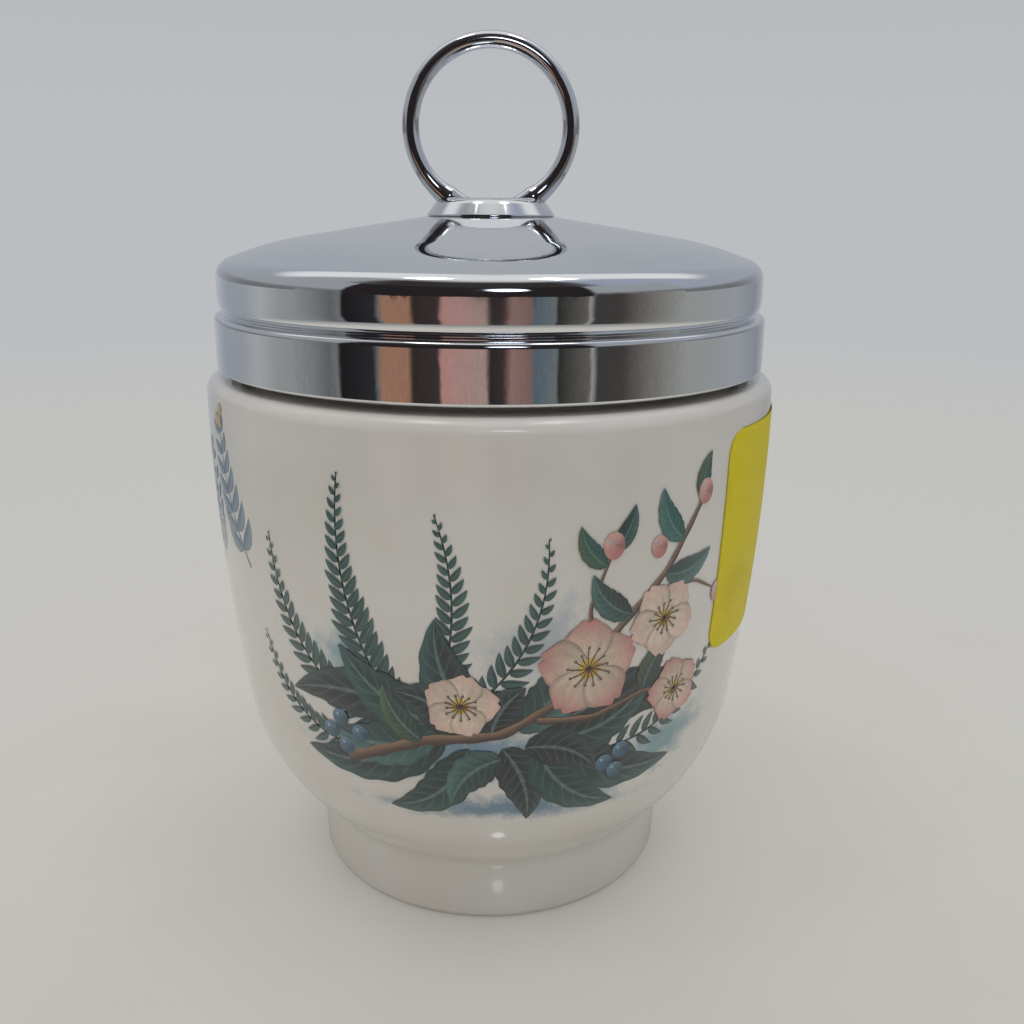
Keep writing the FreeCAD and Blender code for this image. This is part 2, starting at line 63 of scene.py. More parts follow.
# %% A wire that can be added and multiplied
class Wire:
    """One output socket in a node tree. Arithmetic on it adds the nodes that work the sum out."""

    def __init__(self, tree, socket=None):
        self.tree = tree
        self.socket = socket

    def make(self, kind, settings=None, sockets=None, output=0):
        """Adds a node: its settings come first, then the values or wires of its sockets."""
        node = self.tree.nodes.new("ShaderNode" + kind)
        for name, value in (settings or {}).items():
            if name == "stops":
                set_stops(node.color_ramp, value)
            else:
                setattr(node, name, value)
        for name, value in (sockets or {}).items():
            target = node.inputs[name]
            if isinstance(value, Wire):
                self.tree.links.new(value.socket, target)
            else:
                target.default_value = value
        return Wire(self.tree, node.outputs[output]) if len(node.outputs) else node

    def is_vector(self):
        return self.socket.type in ("VECTOR", "RGBA")

    def sum_with(self, other, operation, swapped=False):
        vector = self.is_vector() or (isinstance(other, Wire) and other.is_vector())
        pair = (other, self) if swapped else (self, other)
        if not vector:
            return self.make("Math", {"operation": operation}, dict(enumerate(pair)))
        wide = [(p, p, p) if isinstance(p, (int, float)) else p for p in pair]
        return self.make("VectorMath", {"operation": operation}, dict(enumerate(wide)))

    def __add__(self, other):
        return self.sum_with(other, "ADD")

    def __radd__(self, other):
        return self.sum_with(other, "ADD", swapped=True)

    def __sub__(self, other):
        return self.sum_with(other, "SUBTRACT")

    def __rsub__(self, other):
        return self.sum_with(other, "SUBTRACT", swapped=True)

    def __mul__(self, other):
        return self.sum_with(other, "MULTIPLY")

    def __rmul__(self, other):
        return self.sum_with(other, "MULTIPLY", swapped=True)

    def __truediv__(self, other):
        return self.sum_with(other, "DIVIDE")

    def maths(self, operation, *others):
        return self.make("Math", {"operation": operation}, dict(enumerate((self, *others))))

    def part(self, letter):
        """One number out of a vector: X, Y or Z."""
        return self.make("SeparateXYZ", None, {"Vector": self}, output=letter)

    def length(self):
        """How long a vector is."""
        return self.make("VectorMath", {"operation": "LENGTH"}, {0: self}, output="Value")

    def bearing(self):
        """The turn of a place or direction round Z, in radians, from the front, -Y, towards +X."""
        return self.part("X").maths("ARCTAN2", self.part("Y") * -1.0)

    def ease(self, low, high, start=0.0, end=1.0):
        """Runs smoothly from start to end while this wire goes from low to high."""
        limits = {"From Min": low, "From Max": high, "To Min": start, "To Max": end}
        return self.make("MapRange", {"interpolation_type": "SMOOTHSTEP"}, {"Value": self, **limits})


def set_stops(ramp, stops):
    """Gives a colour ramp its stops, as pairs of a place and a colour from 0 to 255."""
    while len(ramp.elements) < len(stops):
        ramp.elements.new(0.5)
    for element, (place, colour) in zip(ramp.elements, stops):
        element.position = place
        element.color = (*shade(*colour), 1.0)


def blend_colours(share, first, second):
    """first where share is 0, second where it is 1."""
    wires = {0: share, 6: first, 7: second}
    values = {k: (*v, 1.0) if isinstance(v, tuple) else v for k, v in wires.items()}
    tree_of = next(v for v in values.values() if isinstance(v, Wire))
    return tree_of.make("Mix", {"data_type": "RGBA"}, values, output=2)


def shade(red, green, blue):
    """A colour as a painting program gives it, 0 to 255, as the light that Blender sums."""
    lit = [v / 255 for v in (red, green, blue)]
    return tuple(v / 12.92 if v <= 0.04045 else ((v + 0.055) / 1.055) ** 2.4 for v in lit)


print("mid grey is", [round(v, 3) for v in shade(128, 128, 128)], "as light")

# %% A material with its own tree
def new_material(name):
    """An empty material and a wire to start its sums from."""
    made = bpy.data.materials.new(name)
    made.use_nodes = True
    made.node_tree.nodes.clear()
    return made, Wire(made.node_tree)


def finish_surface(start, sockets, bump=None):
    """Ends a tree in one Principled shader. bump is a wire of heights in metres."""
    if bump is not None:
        height = {"Height": bump, "Distance": 1.0, "Strength": 1.0}
        sockets["Normal"] = start.make("Bump", None, height)
    shader = start.make("BsdfPrincipled", None, sockets)
    start.make("OutputMaterial", None, {"Surface": shader})


def place(start):
    """Where a point is on the object, in metres."""
    return start.make("TexCoord", output="Object")


def mottle(start, where, size, detail=2.0, roughness=0.5):
    """Soft noise between about 0.2 and 0.8, with spots of the given size in metres."""
    settings = {"Vector": where, "Scale": 1.0 / size, "Detail": detail, "Roughness": roughness}
    return start.make("TexNoise", {"noise_dimensions": "3D"}, settings, output=0)


def ray_kinds(start):
    """Two wires: 1 where the camera looks, and 1 where a reflection looks."""
    return tuple(start.make("LightPath", output="Is %s Ray" % kind) for kind in ("Camera", "Glossy"))


print("materials end in one Principled shader each")

# %% [markdown]
# ## Camera
#
# The camera stands close, about 10 cm from the cup's axis and level with its lid's top, and looks
# down at 16.5 degrees. So near a lens sees the top of the lid and the foot from different heights,
# and that is what makes the cup taper in the picture.

# %% Camera at the picture's viewing angle
LENS = 36.27
EYE = Vector((0.0, -103.42, 66.77)) * MM
LOOKS_DOWN, TURNS_RIGHT, LEANS = 16.5, 1.23, -0.39

camera = bpy.data.objects.new("camera", bpy.data.cameras.new("camera"))
bpy.context.scene.collection.objects.link(camera)
bpy.context.scene.camera = camera
camera.data.lens = LENS
camera.data.clip_start = 0.001
camera.location = EYE
aim = Matrix.Rotation(math.radians(-TURNS_RIGHT), 3, "Z")
aim = aim @ Matrix.Rotation(math.radians(90 - LOOKS_DOWN), 3, "X")
aim = aim @ Matrix.Rotation(math.radians(-LEANS), 3, "Z")
camera.rotation_euler = aim.to_euler()
bpy.context.scene.view_settings.view_transform = "Standard"
print("the camera is", round(EYE.length / MM), "mm from the foot's centre")

# %% [markdown]
# ## Turned shapes
#
# The cup and the lid are both turned: the china on a potter's wheel, the lid pressed and spun from
# sheet. So each is one outline swept around the upright axis. An outline is given by its corners,
# and each corner is eased by a curve, because neither glaze nor pressed sheet has a sharp edge.
# The light catches those small rounds, and they are what makes the shapes look real.

# %% Outlines, arcs and turned surfaces
AROUND = 320


def arc(centre, radius, start, end, count):
    """Points on an arc in the outline's plane, between two angles in degrees."""
    angles = np.radians(np.linspace(start, end, count))
    return [(centre[0] + radius * c, centre[1] + radius * s)
            for c, s in zip(np.cos(angles), np.sin(angles))]


def eased(corners, count=9):
    """An outline through corners (r, z) or (r, z, reach...): a corner with a reach is rounded off
    by a curve that starts and ends that far from it."""
    points = []
    for i, (r, z, *reach) in enumerate(corners):
        here = np.array((r, z), float)
        if not reach:
            points.append(here)
            continue
        back = np.array(corners[i - 1][:2]) - here
        on = np.array(corners[(i + 1) % len(corners)][:2]) - here
        back, on = back / np.linalg.norm(back), on / np.linalg.norm(on)
        first, last = here + back * reach[0], here + on * reach[-1]
        pull = math.sqrt(max(0.0, (1 + float(back @ -on)) / 2))
        for t in np.linspace(0, 1, count):
            shares = ((1 - t) ** 2, 2 * t * (1 - t) * pull, t ** 2)
            points.append((shares[0] * first + shares[1] * here + shares[2] * last) / sum(shares))
    return np.array(points)


def spin(outline, columns=AROUND, turn=None):
    """A grid of points: the outline at each of the steps around the axis, or at the turns given.
    Azimuth runs from the front, -Y, towards +X."""
    if turn is None:
        turn = np.linspace(0, 2 * math.pi, columns, endpoint=False)
    r, z = outline[:, 0][:, None], outline[:, 1][:, None]
    return np.stack([r * np.sin(turn), -r * np.cos(turn), z + 0 * turn], axis=2)


def quads_of(index):
    """The four corners of each cell in a grid of point numbers."""
    return np.stack([index[:-1, :-1], index[:-1, 1:], index[1:, 1:], index[1:, :-1]], axis=2).reshape(-1, 4)


def set_normals(mesh):
    """Shades a mesh so that its large faces stay flat and its small rounds take up the turn."""
    count = len(mesh.vertices)
    areas = np.zeros(len(mesh.polygons))
    facing = np.zeros(len(mesh.polygons) * 3)
    sizes = np.zeros(len(mesh.polygons), int)
    corners = np.zeros(len(mesh.loops), int)
    mesh.polygons.foreach_get("area", areas)
    mesh.polygons.foreach_get("normal", facing)
    mesh.polygons.foreach_get("loop_total", sizes)
    mesh.loops.foreach_get("vertex_index", corners)
    weighted = np.repeat(facing.reshape(-1, 3) * areas[:, None], sizes, axis=0)
    total = np.zeros((count, 3))
    np.add.at(total, corners, weighted)
    total /= np.maximum(np.linalg.norm(total, axis=1), 1e-30)[:, None]
    mesh.normals_split_custom_set_from_vertices(total.tolist())


def skin(name, grid, loop_rows=False, loop_columns=True, recalculate=True):
    """A piece whose surface runs through a grid of points, given in millimetres."""
    rows, columns = grid.shape[:2]
    index = np.arange(rows * columns).reshape(rows, columns)
    if loop_rows:
        index = np.vstack([index, index[:1]])
    if loop_columns:
        index = np.hstack([index, index[:, :1]])
    mesh = bpy.data.meshes.new(name)
    mesh.from_pydata((grid.reshape(-1, 3) * MM).tolist(), [], quads_of(index).tolist())
    shape = bmesh.new()
    shape.from_mesh(mesh)
    bmesh.ops.remove_doubles(shape, verts=shape.verts, dist=1e-7)
    if recalculate:
        bmesh.ops.recalc_face_normals(shape, faces=shape.faces)
    shape.to_mesh(mesh)
    shape.free()
    return add_piece(name, mesh)


def add_piece(name, mesh):
    """Puts a finished mesh into the scene, smoothly shaded."""
    mesh.shade_smooth()
    set_normals(mesh)
    piece = bpy.data.objects.new(name, mesh)
    bpy.context.scene.collection.objects.link(piece)
    return piece


def dress(piece, material, body, slot, *replaced):
    """The last steps for a piece: its finish, the body it moves with and what it stands for."""
    piece.data.materials.clear()
    piece.data.materials.append(material)
    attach(piece, body)
    if replaced:
        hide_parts(*replaced)
    print(piece.name, "rides on", body, "with", len(piece.data.polygons), "faces")


test_round = eased([(0, 0), (10, 0, 2), (10, 10)])
print("a corner eased by 2 mm keeps", round(float(np.min(np.hypot(*(test_round - (10, 0)).T))), 2),
      "mm clear of its point")

# %% [markdown]
# ## The china cup
#
# Slip-cast porcelain is about 3 mm thick here. The bowl is a long shallow curve that tucks in to
# a foot ring. On top is a ledge, which the skirt of the lid comes down to, and inside that a neck.
# The neck has a low, round-shouldered thread, because china can't hold a sharp one. The thread is
# made by pushing the neck's grid outwards where the ridge passes, fading in and out at its ends.

# %% Outline of the cup
# the three curves of the wall, each as a centre (r, z) and a radius, in mm
BELLY = ((-182.81, 49.0), 210.31)
KNEE = ((5.39, 22.51), 20.25)
HEEL = ((-5.88, 31.23), 34.49)
WALL = 3.0
WIDEST, LEDGE = 27.5, 51.4
NECK, BORE, LIP = 23.55, 20.95, 60.1
THREAD_ROWS = [(NECK, z) for z in np.arange(52.0, 59.15, 0.13)]

cup_outline = eased(
    # under the foot, round its rim and up its outside
    [(0.0, 3.8), (14.7, 3.8, 1.3), (14.7, 0.0, 0.9), (18.2, 0.0, 0.9), (18.4, 6.7, 0.9)]
    # up the outside of the bowl
    + arc(*HEEL, -43.7, -37.7, 8)
    + arc(*KNEE, -37.2, -8.4, 30)
    + arc(*BELLY, -8.01, 0.0, 44)
    # over the ledge, up the neck and back down inside it
    + [(WIDEST, LEDGE, 1.3), (NECK, LEDGE, 0.35)]
    + THREAD_ROWS
    + [(NECK, LIP, 0.9), (BORE, LIP, 0.9), (BORE, 48.9, 1.6), (24.4, 44.8, 2.2)]
    # down the inside of the bowl to its floor
    + arc(BELLY[0], BELLY[1] - WALL, -2.2, -8.0, 26)
    + arc(KNEE[0], KNEE[1] - WALL, -8.6, -60.0, 26)
    + [(12.0, 7.5), (0.0, 7.5)])
print("the cup's outline has", len(cup_outline), "points and is",
      round(float(cup_outline[:, 0].max()) * 2, 1), "mm across")

# %% Thread on the neck
THREAD_START, THREAD_LEAD, THREAD_TURNS = 53.3, 4.0, 4.95 / 4.0
RIDGE_HEIGHT, RIDGE_BASE, RIDGE_CREST = 0.65, 0.95, 0.45
FADE_TURNS = 0.06


def thread_height(azimuth, z):
    """How far the thread stands out of the neck at each place, in mm."""
    height = np.zeros_like(z)
    for lap in (0, 1):
        turns = np.mod(azimuth / (2 * math.pi) - 0.25, 1.0) + lap
        off = np.abs(z - THREAD_START - THREAD_LEAD * turns)
        across = np.clip((RIDGE_BASE - off) / (RIDGE_BASE - RIDGE_CREST), 0, 1)
        along = np.clip(turns / FADE_TURNS, 0, 1) * np.clip((THREAD_TURNS - turns) / FADE_TURNS, 0, 1)
        smooth = across * across * (3 - 2 * across) * along * along * (3 - 2 * along)
        height = np.maximum(height, RIDGE_HEIGHT * smooth)
    return height


cup_grid = spin(cup_outline)
on_neck = np.abs(cup_outline[:, 0] - NECK) < 0.01
azimuths = np.linspace(0, 2 * math.pi, AROUND, endpoint=False)[None, :] + 0 * cup_grid[..., 2]
pushed = thread_height(azimuths, cup_grid[..., 2]) * on_neck[:, None]
cup_grid[..., 0] += pushed * np.sin(azimuths)
cup_grid[..., 1] -= pushed * np.cos(azimuths)
china_cup = skin("china_cup", cup_grid)
crest = np.hypot(cup_grid[on_neck][..., 0], cup_grid[on_neck][..., 1]).max()
print("the thread's crest is", round(float(crest), 2), "mm from the axis")

# %% [markdown]
# ## Glaze
#
# Porcelain is a warm white body under a clear glaze. In the shader that is a soft white base with
# a clear coat on top: the base scatters light, and the coat gives the small sharp reflections.
# Fired glaze is never quite flat, so a faint, slow waviness bends those reflections. Under the foot
# the glaze is wiped off before firing, and the bare rim there is dull and takes up dirt.

# %% Glazed china material
CHINA_WHITES = (shade(231, 227, 219), shade(236, 233, 227))
CLOUD_SIZE = 0.009
GLAZE = {"Coat Roughness": 0.04, "Coat IOR": 1.5, "IOR": 1.45}
BARE_BELOW, GLAZED_ABOVE = 0.00025, 0.00055


def ripple(start, at):
    """The faint waviness of fired glaze, as heights in metres."""
    return mottle(start, at, 0.0035) * 0.000012


china, w = new_material("glazed_china")
at = place(w)
cloud = mottle(w, at, CLOUD_SIZE)
speck = mottle(w, at, 0.0007, detail=1.0)
body_colour = blend_colours(cloud.ease(0.3, 0.7), *CHINA_WHITES)
bare = at.part("Z").ease(BARE_BELOW, GLAZED_ABOVE, 1.0, 0.0)
foot_colour = blend_colours(speck.ease(0.35, 0.65), shade(205, 196, 178), shade(224, 218, 206))
finish_surface(w, {
    "Base Color": blend_colours(bare, body_colour, foot_colour),
    "Roughness": bare * 0.35 + 0.28 + cloud * 0.05,
    "Coat Weight": 1.0 - bare,
    **GLAZE,
}, bump=cloud * 0.00003 + ripple(w, at) + bare * speck * 0.00003)
dress(china_cup, china, "cup", "porcelain", "cup")

# %% [markdown]
# ## The chromed lid
#
# The lid is one cap of thin sheet. Its top is a very low cone that rounds over at the rim. Below
# comes a rolled band, then a groove, then a second band that hangs over the ledge of the cup and
# ends in a turned-in lip. Chrome shows nothing but its rounds and the room, so each round here has
# the width that its bright or dark line should have.

# %% Lid shell
lid_outside = eased([
    (1.55, 66.564), (20.8, 63.5, 3.2, 2.6), (26.0, 61.62, 1.25, 1.3), (26.0, 57.68, 1.1, 0.5),
    (25.42, 57.36, 0.2), (25.42, 57.2, 0.2), (26.4, 56.93, 0.32, 0.4), (26.4, 52.08, 0.34),
    (25.2, 52.08, 0.1), (25.2, 52.62)], count=13)
lid_inside = eased([
    (25.2, 52.65), (25.95, 52.65, 0.15), (25.95, 56.4, 0.4), (24.97, 56.75, 0.15), (24.97, 57.6, 0.15),
    (25.55, 57.95, 0.3), (25.55, 61.25, 0.9), (20.8, 63.03, 2.5), (1.55, 66.11)], count=7)
lid_outline = np.vstack([lid_outside, lid_inside])
chrome_lid = skin("chrome_lid", spin(lid_outline), loop_rows=True)
print("the lid is", round(float(lid_outside[:, 0].max()) * 2, 1), "mm across, of sheet",
      round(float(lid_outside[0, 1] - lid_inside[-1, 1]), 2), "mm thick")

# %% [markdown]
# ## The lifting ring and its foot
#
# The ring is a bent wire, open at the bottom. Its two ends stand in a small turned foot and are
# brazed there, so the wire widens a little as it goes in, and its very ends are filed thinner to
# stay hidden. The foot flares at its base like a washer and has a dip across its top, in line with
# the inside of the ring.

# %% Bent wire ring
RING_HEIGHT, RING_RADIUS, WIRE_RADIUS = 73.953, 7.55, 0.8
RING_GAP, END_TAPER, TAPER_ANGLE = 13.0, 0.16, 5.0
BRAZE_WIDTH, BRAZE_REACH = 0.34, 0.7
FOOT_TOP = 67.553

along = np.radians(np.linspace(RING_GAP, 360 - RING_GAP, 241))
outwards = np.stack([np.sin(along), 0 * along, -np.cos(along)], axis=1)
middle = RING_RADIUS * outwards + (0, 0, RING_HEIGHT)
from_top = np.abs(middle[:, 2] - FOOT_TOP)
from_end = np.degrees(math.pi - np.abs(along - math.pi)) - RING_GAP
thickness = (WIRE_RADIUS + BRAZE_WIDTH * np.exp(-from_top / BRAZE_REACH)
             - END_TAPER * np.exp(-from_end / TAPER_ANGLE))
around = np.linspace(0, 2 * math.pi, 56, endpoint=False)
ring_grid = (middle[:, None, :]
             + thickness[:, None, None] * (np.cos(around)[None, :, None] * outwards[:, None, :]
                                           + np.sin(around)[None, :, None] * np.array([0, 1, 0])))
wire_ring = skin("wire_ring", ring_grid)
print("the ring is", round(2 * (RING_RADIUS - WIRE_RADIUS), 2), "mm across inside")

# %% Turned foot of the ring
foot_outline = eased([
    (0.0, FOOT_TOP), (4.96, FOOT_TOP, 0.45, 0.7), (6.14, 65.99, 0.08),
    (6.14, 65.86, 0.03), (1.5, 66.5, 0.1), (1.5, 65.2, 0.1), (2.6, 65.1, 0.25), (2.6, 64.65, 0.3),
    (0.0, 64.6)], count=9)
# the flat top needs rows close together, so that the dip can bend it
inner = [(r, FOOT_TOP) for r in np.linspace(0, 4.6, 24)]
foot_outline = np.vstack([inner, foot_outline[1:]])
foot_grid = spin(foot_outline, 200)
reach_in = RING_RADIUS - WIRE_RADIUS
dip = RING_HEIGHT - np.sqrt(np.maximum(reach_in ** 2 - foot_grid[..., 0] ** 2, 0))
on_top = foot_grid[..., 2] > FOOT_TOP - 0.02
foot_grid[..., 2] = np.where(on_top, np.minimum(foot_grid[..., 2], dip), foot_grid[..., 2])
turned_foot = skin("turned_foot", foot_grid)
print("the dip is", round(float(FOOT_TOP - dip.min()), 2), "mm deep")

# %% [markdown]
# ## Chrome
#
# Chrome plate is a mirror: it has almost no colour of its own. What tells it from glass or plastic
# is the steel under it. Pressed sheet is never perfectly even, so its reflections wander, and
# handling leaves a thin film on it. The film goes into the roughness, the unevenness into a bump
# with slopes of well under a degree.

# %% Chrome materials
FILM_DIMS, CLEAN_ROUGHNESS, FINE_SHARE = 0.94, 0.035, 0.09


def chrome(name, colour, wander, film):
    """Bright plate. wander is the height of the slow unevenness in metres, film how much the gloss
    varies."""
    made, w = new_material(name)
    at = place(w)
    slow = mottle(w, at, 0.006, detail=1.0)
    fine = mottle(w, at, 0.0011, detail=2.0)
    smear = mottle(w, at, 0.014, detail=4.0, roughness=0.6).ease(0.45, 0.75)
    finish_surface(w, {
        "Base Color": blend_colours(smear, colour, tuple(v * FILM_DIMS for v in colour)),
        "Metallic": 1.0,
        "Roughness": smear * film + CLEAN_ROUGHNESS,
    }, bump=slow * wander + fine * (wander * FINE_SHARE))
    return made


sheet_chrome = chrome("chromed_sheet", (0.86, 0.87, 0.885), wander=0.00002, film=0.07)
wire_chrome = chrome("chromed_wire", (0.84, 0.85, 0.87), wander=0.000004, film=0.06)
dress(chrome_lid, sheet_chrome, "lid", "chrome_sheet", "lid_shell")
dress(wire_ring, wire_chrome, "lid", "chrome_wire", "lifting_ring")
dress(turned_foot, wire_chrome, "lid", "chrome_wire", "ring_foot")

# %% [markdown]
# ## Inside the lid
#
# Three parts show only when the lid is off: the tinned liner with the rolled thread, the washer
# under the dome that the foot's tenon is riveted over, and the rubber seal that the lid presses on
# the cup's lip. The solid model's own shapes are right for them, so they only get their finishes.

# %% Tinned metal and seal rubber
tinned, w = new_material("tinned_steel")
at = place(w)
grain = mottle(w, at * Vector((900, 900, 5200)), 1.0, detail=3.0)
dull = mottle(w, at, 0.004, detail=3.0).ease(0.4, 0.7)
finish_surface(w, {
    "Base Color": blend_colours(dull, shade(196, 197, 196), shade(158, 156, 150)),
    "Metallic": 1.0,
    "Roughness": dull * 0.18 + 0.27,
}, bump=grain * 0.000004)

rubber, w = new_material("seal_rubber")
at = place(w)
dust = mottle(w, at, 0.0012, detail=4.0).ease(0.5, 0.75)
finish_surface(w, {
    "Base Color": blend_colours(dust, shade(214, 205, 188), shade(231, 226, 214)),
    "Roughness": dust * 0.15 + 0.55,
}, bump=mottle(w, at, 0.0003) * 0.000006)
for name, finish in (("thread_liner", tinned), ("rivet_washer", tinned), ("seal_ring", rubber)):
    nodes[name].data.materials.clear()
    nodes[name].data.materials.append(finish)
print("the liner, washer and seal keep their solids' shapes")

# %% [markdown]
# ## The price sticker
#
# A bright yellow paper label with round corners is stuck on the side. It is left blank. Paper on a
# curved wall follows it closely, but its cut edge stands out by its own thickness and catches the
# light. So it is a thin bent sheet with a real edge, not a patch of colour.

# %% Bent paper label
LABEL_AT, LABEL_HALF, LABEL_LOW, LABEL_HIGH = 78.5, 14.25, 28.1, 48.7
LABEL_CORNER, UNDERSIDE_LIFT, FACE_LIFT = 2.2, 0.015, 0.13
KNEE_TOP, BELLY_TOP = 19.69, BELLY[0][1]


def cup_radius(z):
    """The cup's outside radius at a height, in mm, between the foot and the ledge."""
    on_belly = BELLY[0][0] + np.sqrt(BELLY[1] ** 2 - (z - BELLY[0][1]) ** 2)
    on_knee = KNEE[0][0] + np.sqrt(np.maximum(KNEE[1] ** 2 - (z - KNEE[0][1]) ** 2, 0))
    return np.where(z > BELLY_TOP, WIDEST, np.where(z > KNEE_TOP, on_belly, on_knee))


def on_cup(azimuth, z, lift=0.0):
    """Points on the cup's outside, azimuth in degrees, lifted off it by some mm."""
    azimuth, z = np.broadcast_arrays(np.radians(np.asarray(azimuth, float)), np.asarray(z, float))
    r = cup_radius(z) + lift
    return np.stack([r * np.sin(azimuth), -r * np.cos(azimuth), z], axis=-1)


def corner_cut(from_end):
    """How much a round corner takes off the label's half width, by the distance from its end."""
    inside = LABEL_CORNER - np.minimum(from_end, LABEL_CORNER)
    return LABEL_CORNER - np.sqrt(LABEL_CORNER ** 2 - inside ** 2)


label_half_angle = math.degrees(math.asin(LABEL_HALF / WIDEST))
half_bent = LABEL_HALF * 1.08  # half the width along the bent wall is a little more than across it
half_height = (LABEL_HIGH - LABEL_LOW) / 2
up_label = np.linspace(-half_height, half_height, 61)
reach = (half_bent - corner_cut(half_height - np.abs(up_label))) / half_bent * label_half_angle
azimuth_grid = LABEL_AT + reach[:, None] * np.linspace(-1, 1, 81)[None, :]
z_grid = (LABEL_LOW + half_height + up_label)[:, None] + 0 * azimuth_grid
label_face = on_cup(azimuth_grid, z_grid, FACE_LIFT)
label_underside = on_cup(azimuth_grid, z_grid, UNDERSIDE_LIFT)
paper_label = skin("paper_label", np.concatenate([label_face, label_underside[:, ::-1]], axis=1))
print("the label is", round(2 * LABEL_HALF, 1), "mm wide and", round(2 * half_height, 1), "mm high")

# %% Yellow paper material
paper, w = new_material("yellow_paper")
at = place(w)
fibres = mottle(w, at * Vector((1.0, 1.0, 2.5)), 0.0005, detail=4.0, roughness=0.7)
rub = mottle(w, at, 0.006, detail=3.0).ease(0.5, 0.75)
fresh = blend_colours(fibres.ease(0.3, 0.7), shade(234, 214, 16), shade(241, 224, 36))
finish_surface(w, {
    "Base Color": blend_colours(rub, fresh, shade(228, 208, 34)),
    "Roughness": 0.42 + fibres * 0.2,
    "Specular IOR Level": 0.3,
}, bump=fibres * 0.000012 + rub * 0.00001)
dress(paper_label, paper, "cup", "label_paper", "price_sticker")

# %% [markdown]
# ## The painted decoration
#
# The cup carries a spray of leaves, fern, berries and blossom, made up for this lesson. On real
# china such a picture is a printed transfer, fired under or over the glaze. It has no thickness
# that a finger could feel, but it has clean edges, so each brush stroke here is a small patch of
# mesh that hugs the china, and colours are painted onto its corner points. Strokes that overlap
# are stacked a few thousandths of a millimetre apart, in the order in which they are painted.

# %% Laying a stroke
PLAIN, LEAF, PETAL, WASH = 0.0, 1.0, 2.0, 3.0
strokes = []
dice = random.Random(11)


def lerp(first, second, share):
    """first where share is 0, second where it is 1, for arrays of places or colours."""
    return np.asarray(first) * (1 - share) + np.asarray(second) * share


def bow(start, end, bend, count):
    """Points on a curve from start to end. bend is how far it swings to its left, as a share of
    its length."""
    start, end = np.array(start, float), np.array(end, float)
    over = np.array((start[1] - end[1], end[0] - start[0])) * bend * 2
    t = np.linspace(0, 1, count)[:, None]
    return (1 - t) ** 2 * start + 2 * t * (1 - t) * ((start + end) / 2 + over) + t ** 2 * end


def ribbon(path, half_widths, columns):
    """A grid along a path, as wide on each side as half_widths says."""
    forward = np.gradient(path, axis=0)
    forward /= np.linalg.norm(forward, axis=1)[:, None]
    side = np.stack([-forward[:, 1], forward[:, 0]], axis=1)
    v = np.linspace(-1, 1, columns)
    return path[:, None, :] + side[:, None, :] * half_widths[:, None, None] * v[None, :, None]


def lay(grid, colours, kind=PLAIN, cover=1.0):
    """Adds one stroke: a grid of places (x, z) in mm on the unrolled cup, and a colour at each."""
    rows, columns = grid.shape[:2]
    colours = np.broadcast_to(np.asarray(colours, float), (rows, columns, 3))
    cover = np.broadcast_to(np.asarray(cover, float), (rows, columns))
    t = np.linspace(0, 1, rows)[:, None] + np.zeros((1, columns))
    v = np.linspace(-1, 1, columns)[None, :] + np.zeros((rows, 1))
    strokes.append((grid, np.dstack([colours, cover]), np.dstack([t, v, t * 0 + kind])))


print("a bow over 10 mm passes through", bow((0, 0), (10, 0), 0.1, 3)[1].round(2), "half-way")

# %% Colours of the decoration
INK = shade(28, 36, 36)
DEEP = shade(33, 62, 58)
TEAL = shade(44, 100, 92)
SEA = shade(92, 146, 140)
MOSS = shade(96, 120, 72)
STEEL = shade(70, 112, 142)
PALE = shade(168, 194, 208)
BARK = shade(84, 60, 52)
TAN = shade(176, 140, 112)
ROSE = shade(206, 132, 128)
BLUSH = shade(236, 196, 184)
CREAM = shade(240, 226, 200)
OCHRE = shade(214, 170, 70)
GOLD = shade(232, 204, 92)
print("fourteen colours are mixed")


# %% Leaf, twig and frond strokes
def leaf(base, tip, width, bend=0.1, dark=DEEP, light=TEAL, wave=0.05):
    """A pointed leaf with one half in shade."""
    length = math.dist(base, tip)
    rows, columns = max(10, int(length / 0.35)), max(5, int(width / 0.4) | 1)
    t = np.linspace(0, 1, rows)
    shape = np.sin(np.pi * t ** 0.72) ** 0.85
    shape *= 1 + wave * np.sin(t * (9 + 3 * dice.random()) * math.pi)
    grid = ribbon(bow(base, tip, bend, rows), width / 2 * shape + 0.015, columns)
    v = np.linspace(-1, 1, columns)[None, :, None]
    along = t[:, None, None]
    tone = 0.85 + 0.3 * dice.random()
    lit_side = np.clip(0.35 + 0.65 * v * (1 if bend >= 0 else -1), 0, 1)
    colours = lerp(dark, light, np.clip(lit_side * (0.35 + 0.75 * along), 0, 1))
    colours = lerp(colours, lerp(light, PALE, 0.5), np.clip((np.abs(v) - 0.3) * along * 0.5, 0, 1))
    lay(grid, colours * tone, kind=LEAF)


def twig(points, thick, thin, dark=BARK, light=TAN):
    """A brown twig that tapers along a path of several bows."""
    path = np.array(points, float)
    distances = np.r_[0, np.cumsum(np.linalg.norm(np.diff(path, axis=0), axis=1))]
    count = max(8, int(distances[-1] / 0.3))
    even = np.linspace(0, distances[-1], count)
    path = np.stack([np.interp(even, distances, path[:, k]) for k in (0, 1)], axis=1)
    for _ in range(6):
        path[1:-1] = (path[:-2] + path[1:-1] * 2 + path[2:]) / 4
    t = np.linspace(0, 1, count)
    widths = lerp(thick, thin, t) / 2 * (1 + 0.12 * np.sin(t * distances[-1] * 2.1))
    v = np.linspace(-1, 1, 5)[None, :, None]
    colours = lerp(dark, light, np.clip(0.25 + 0.6 * v, 0, 1)) * np.ones((count, 1, 1))
    lay(ribbon(path, widths, 5), colours)


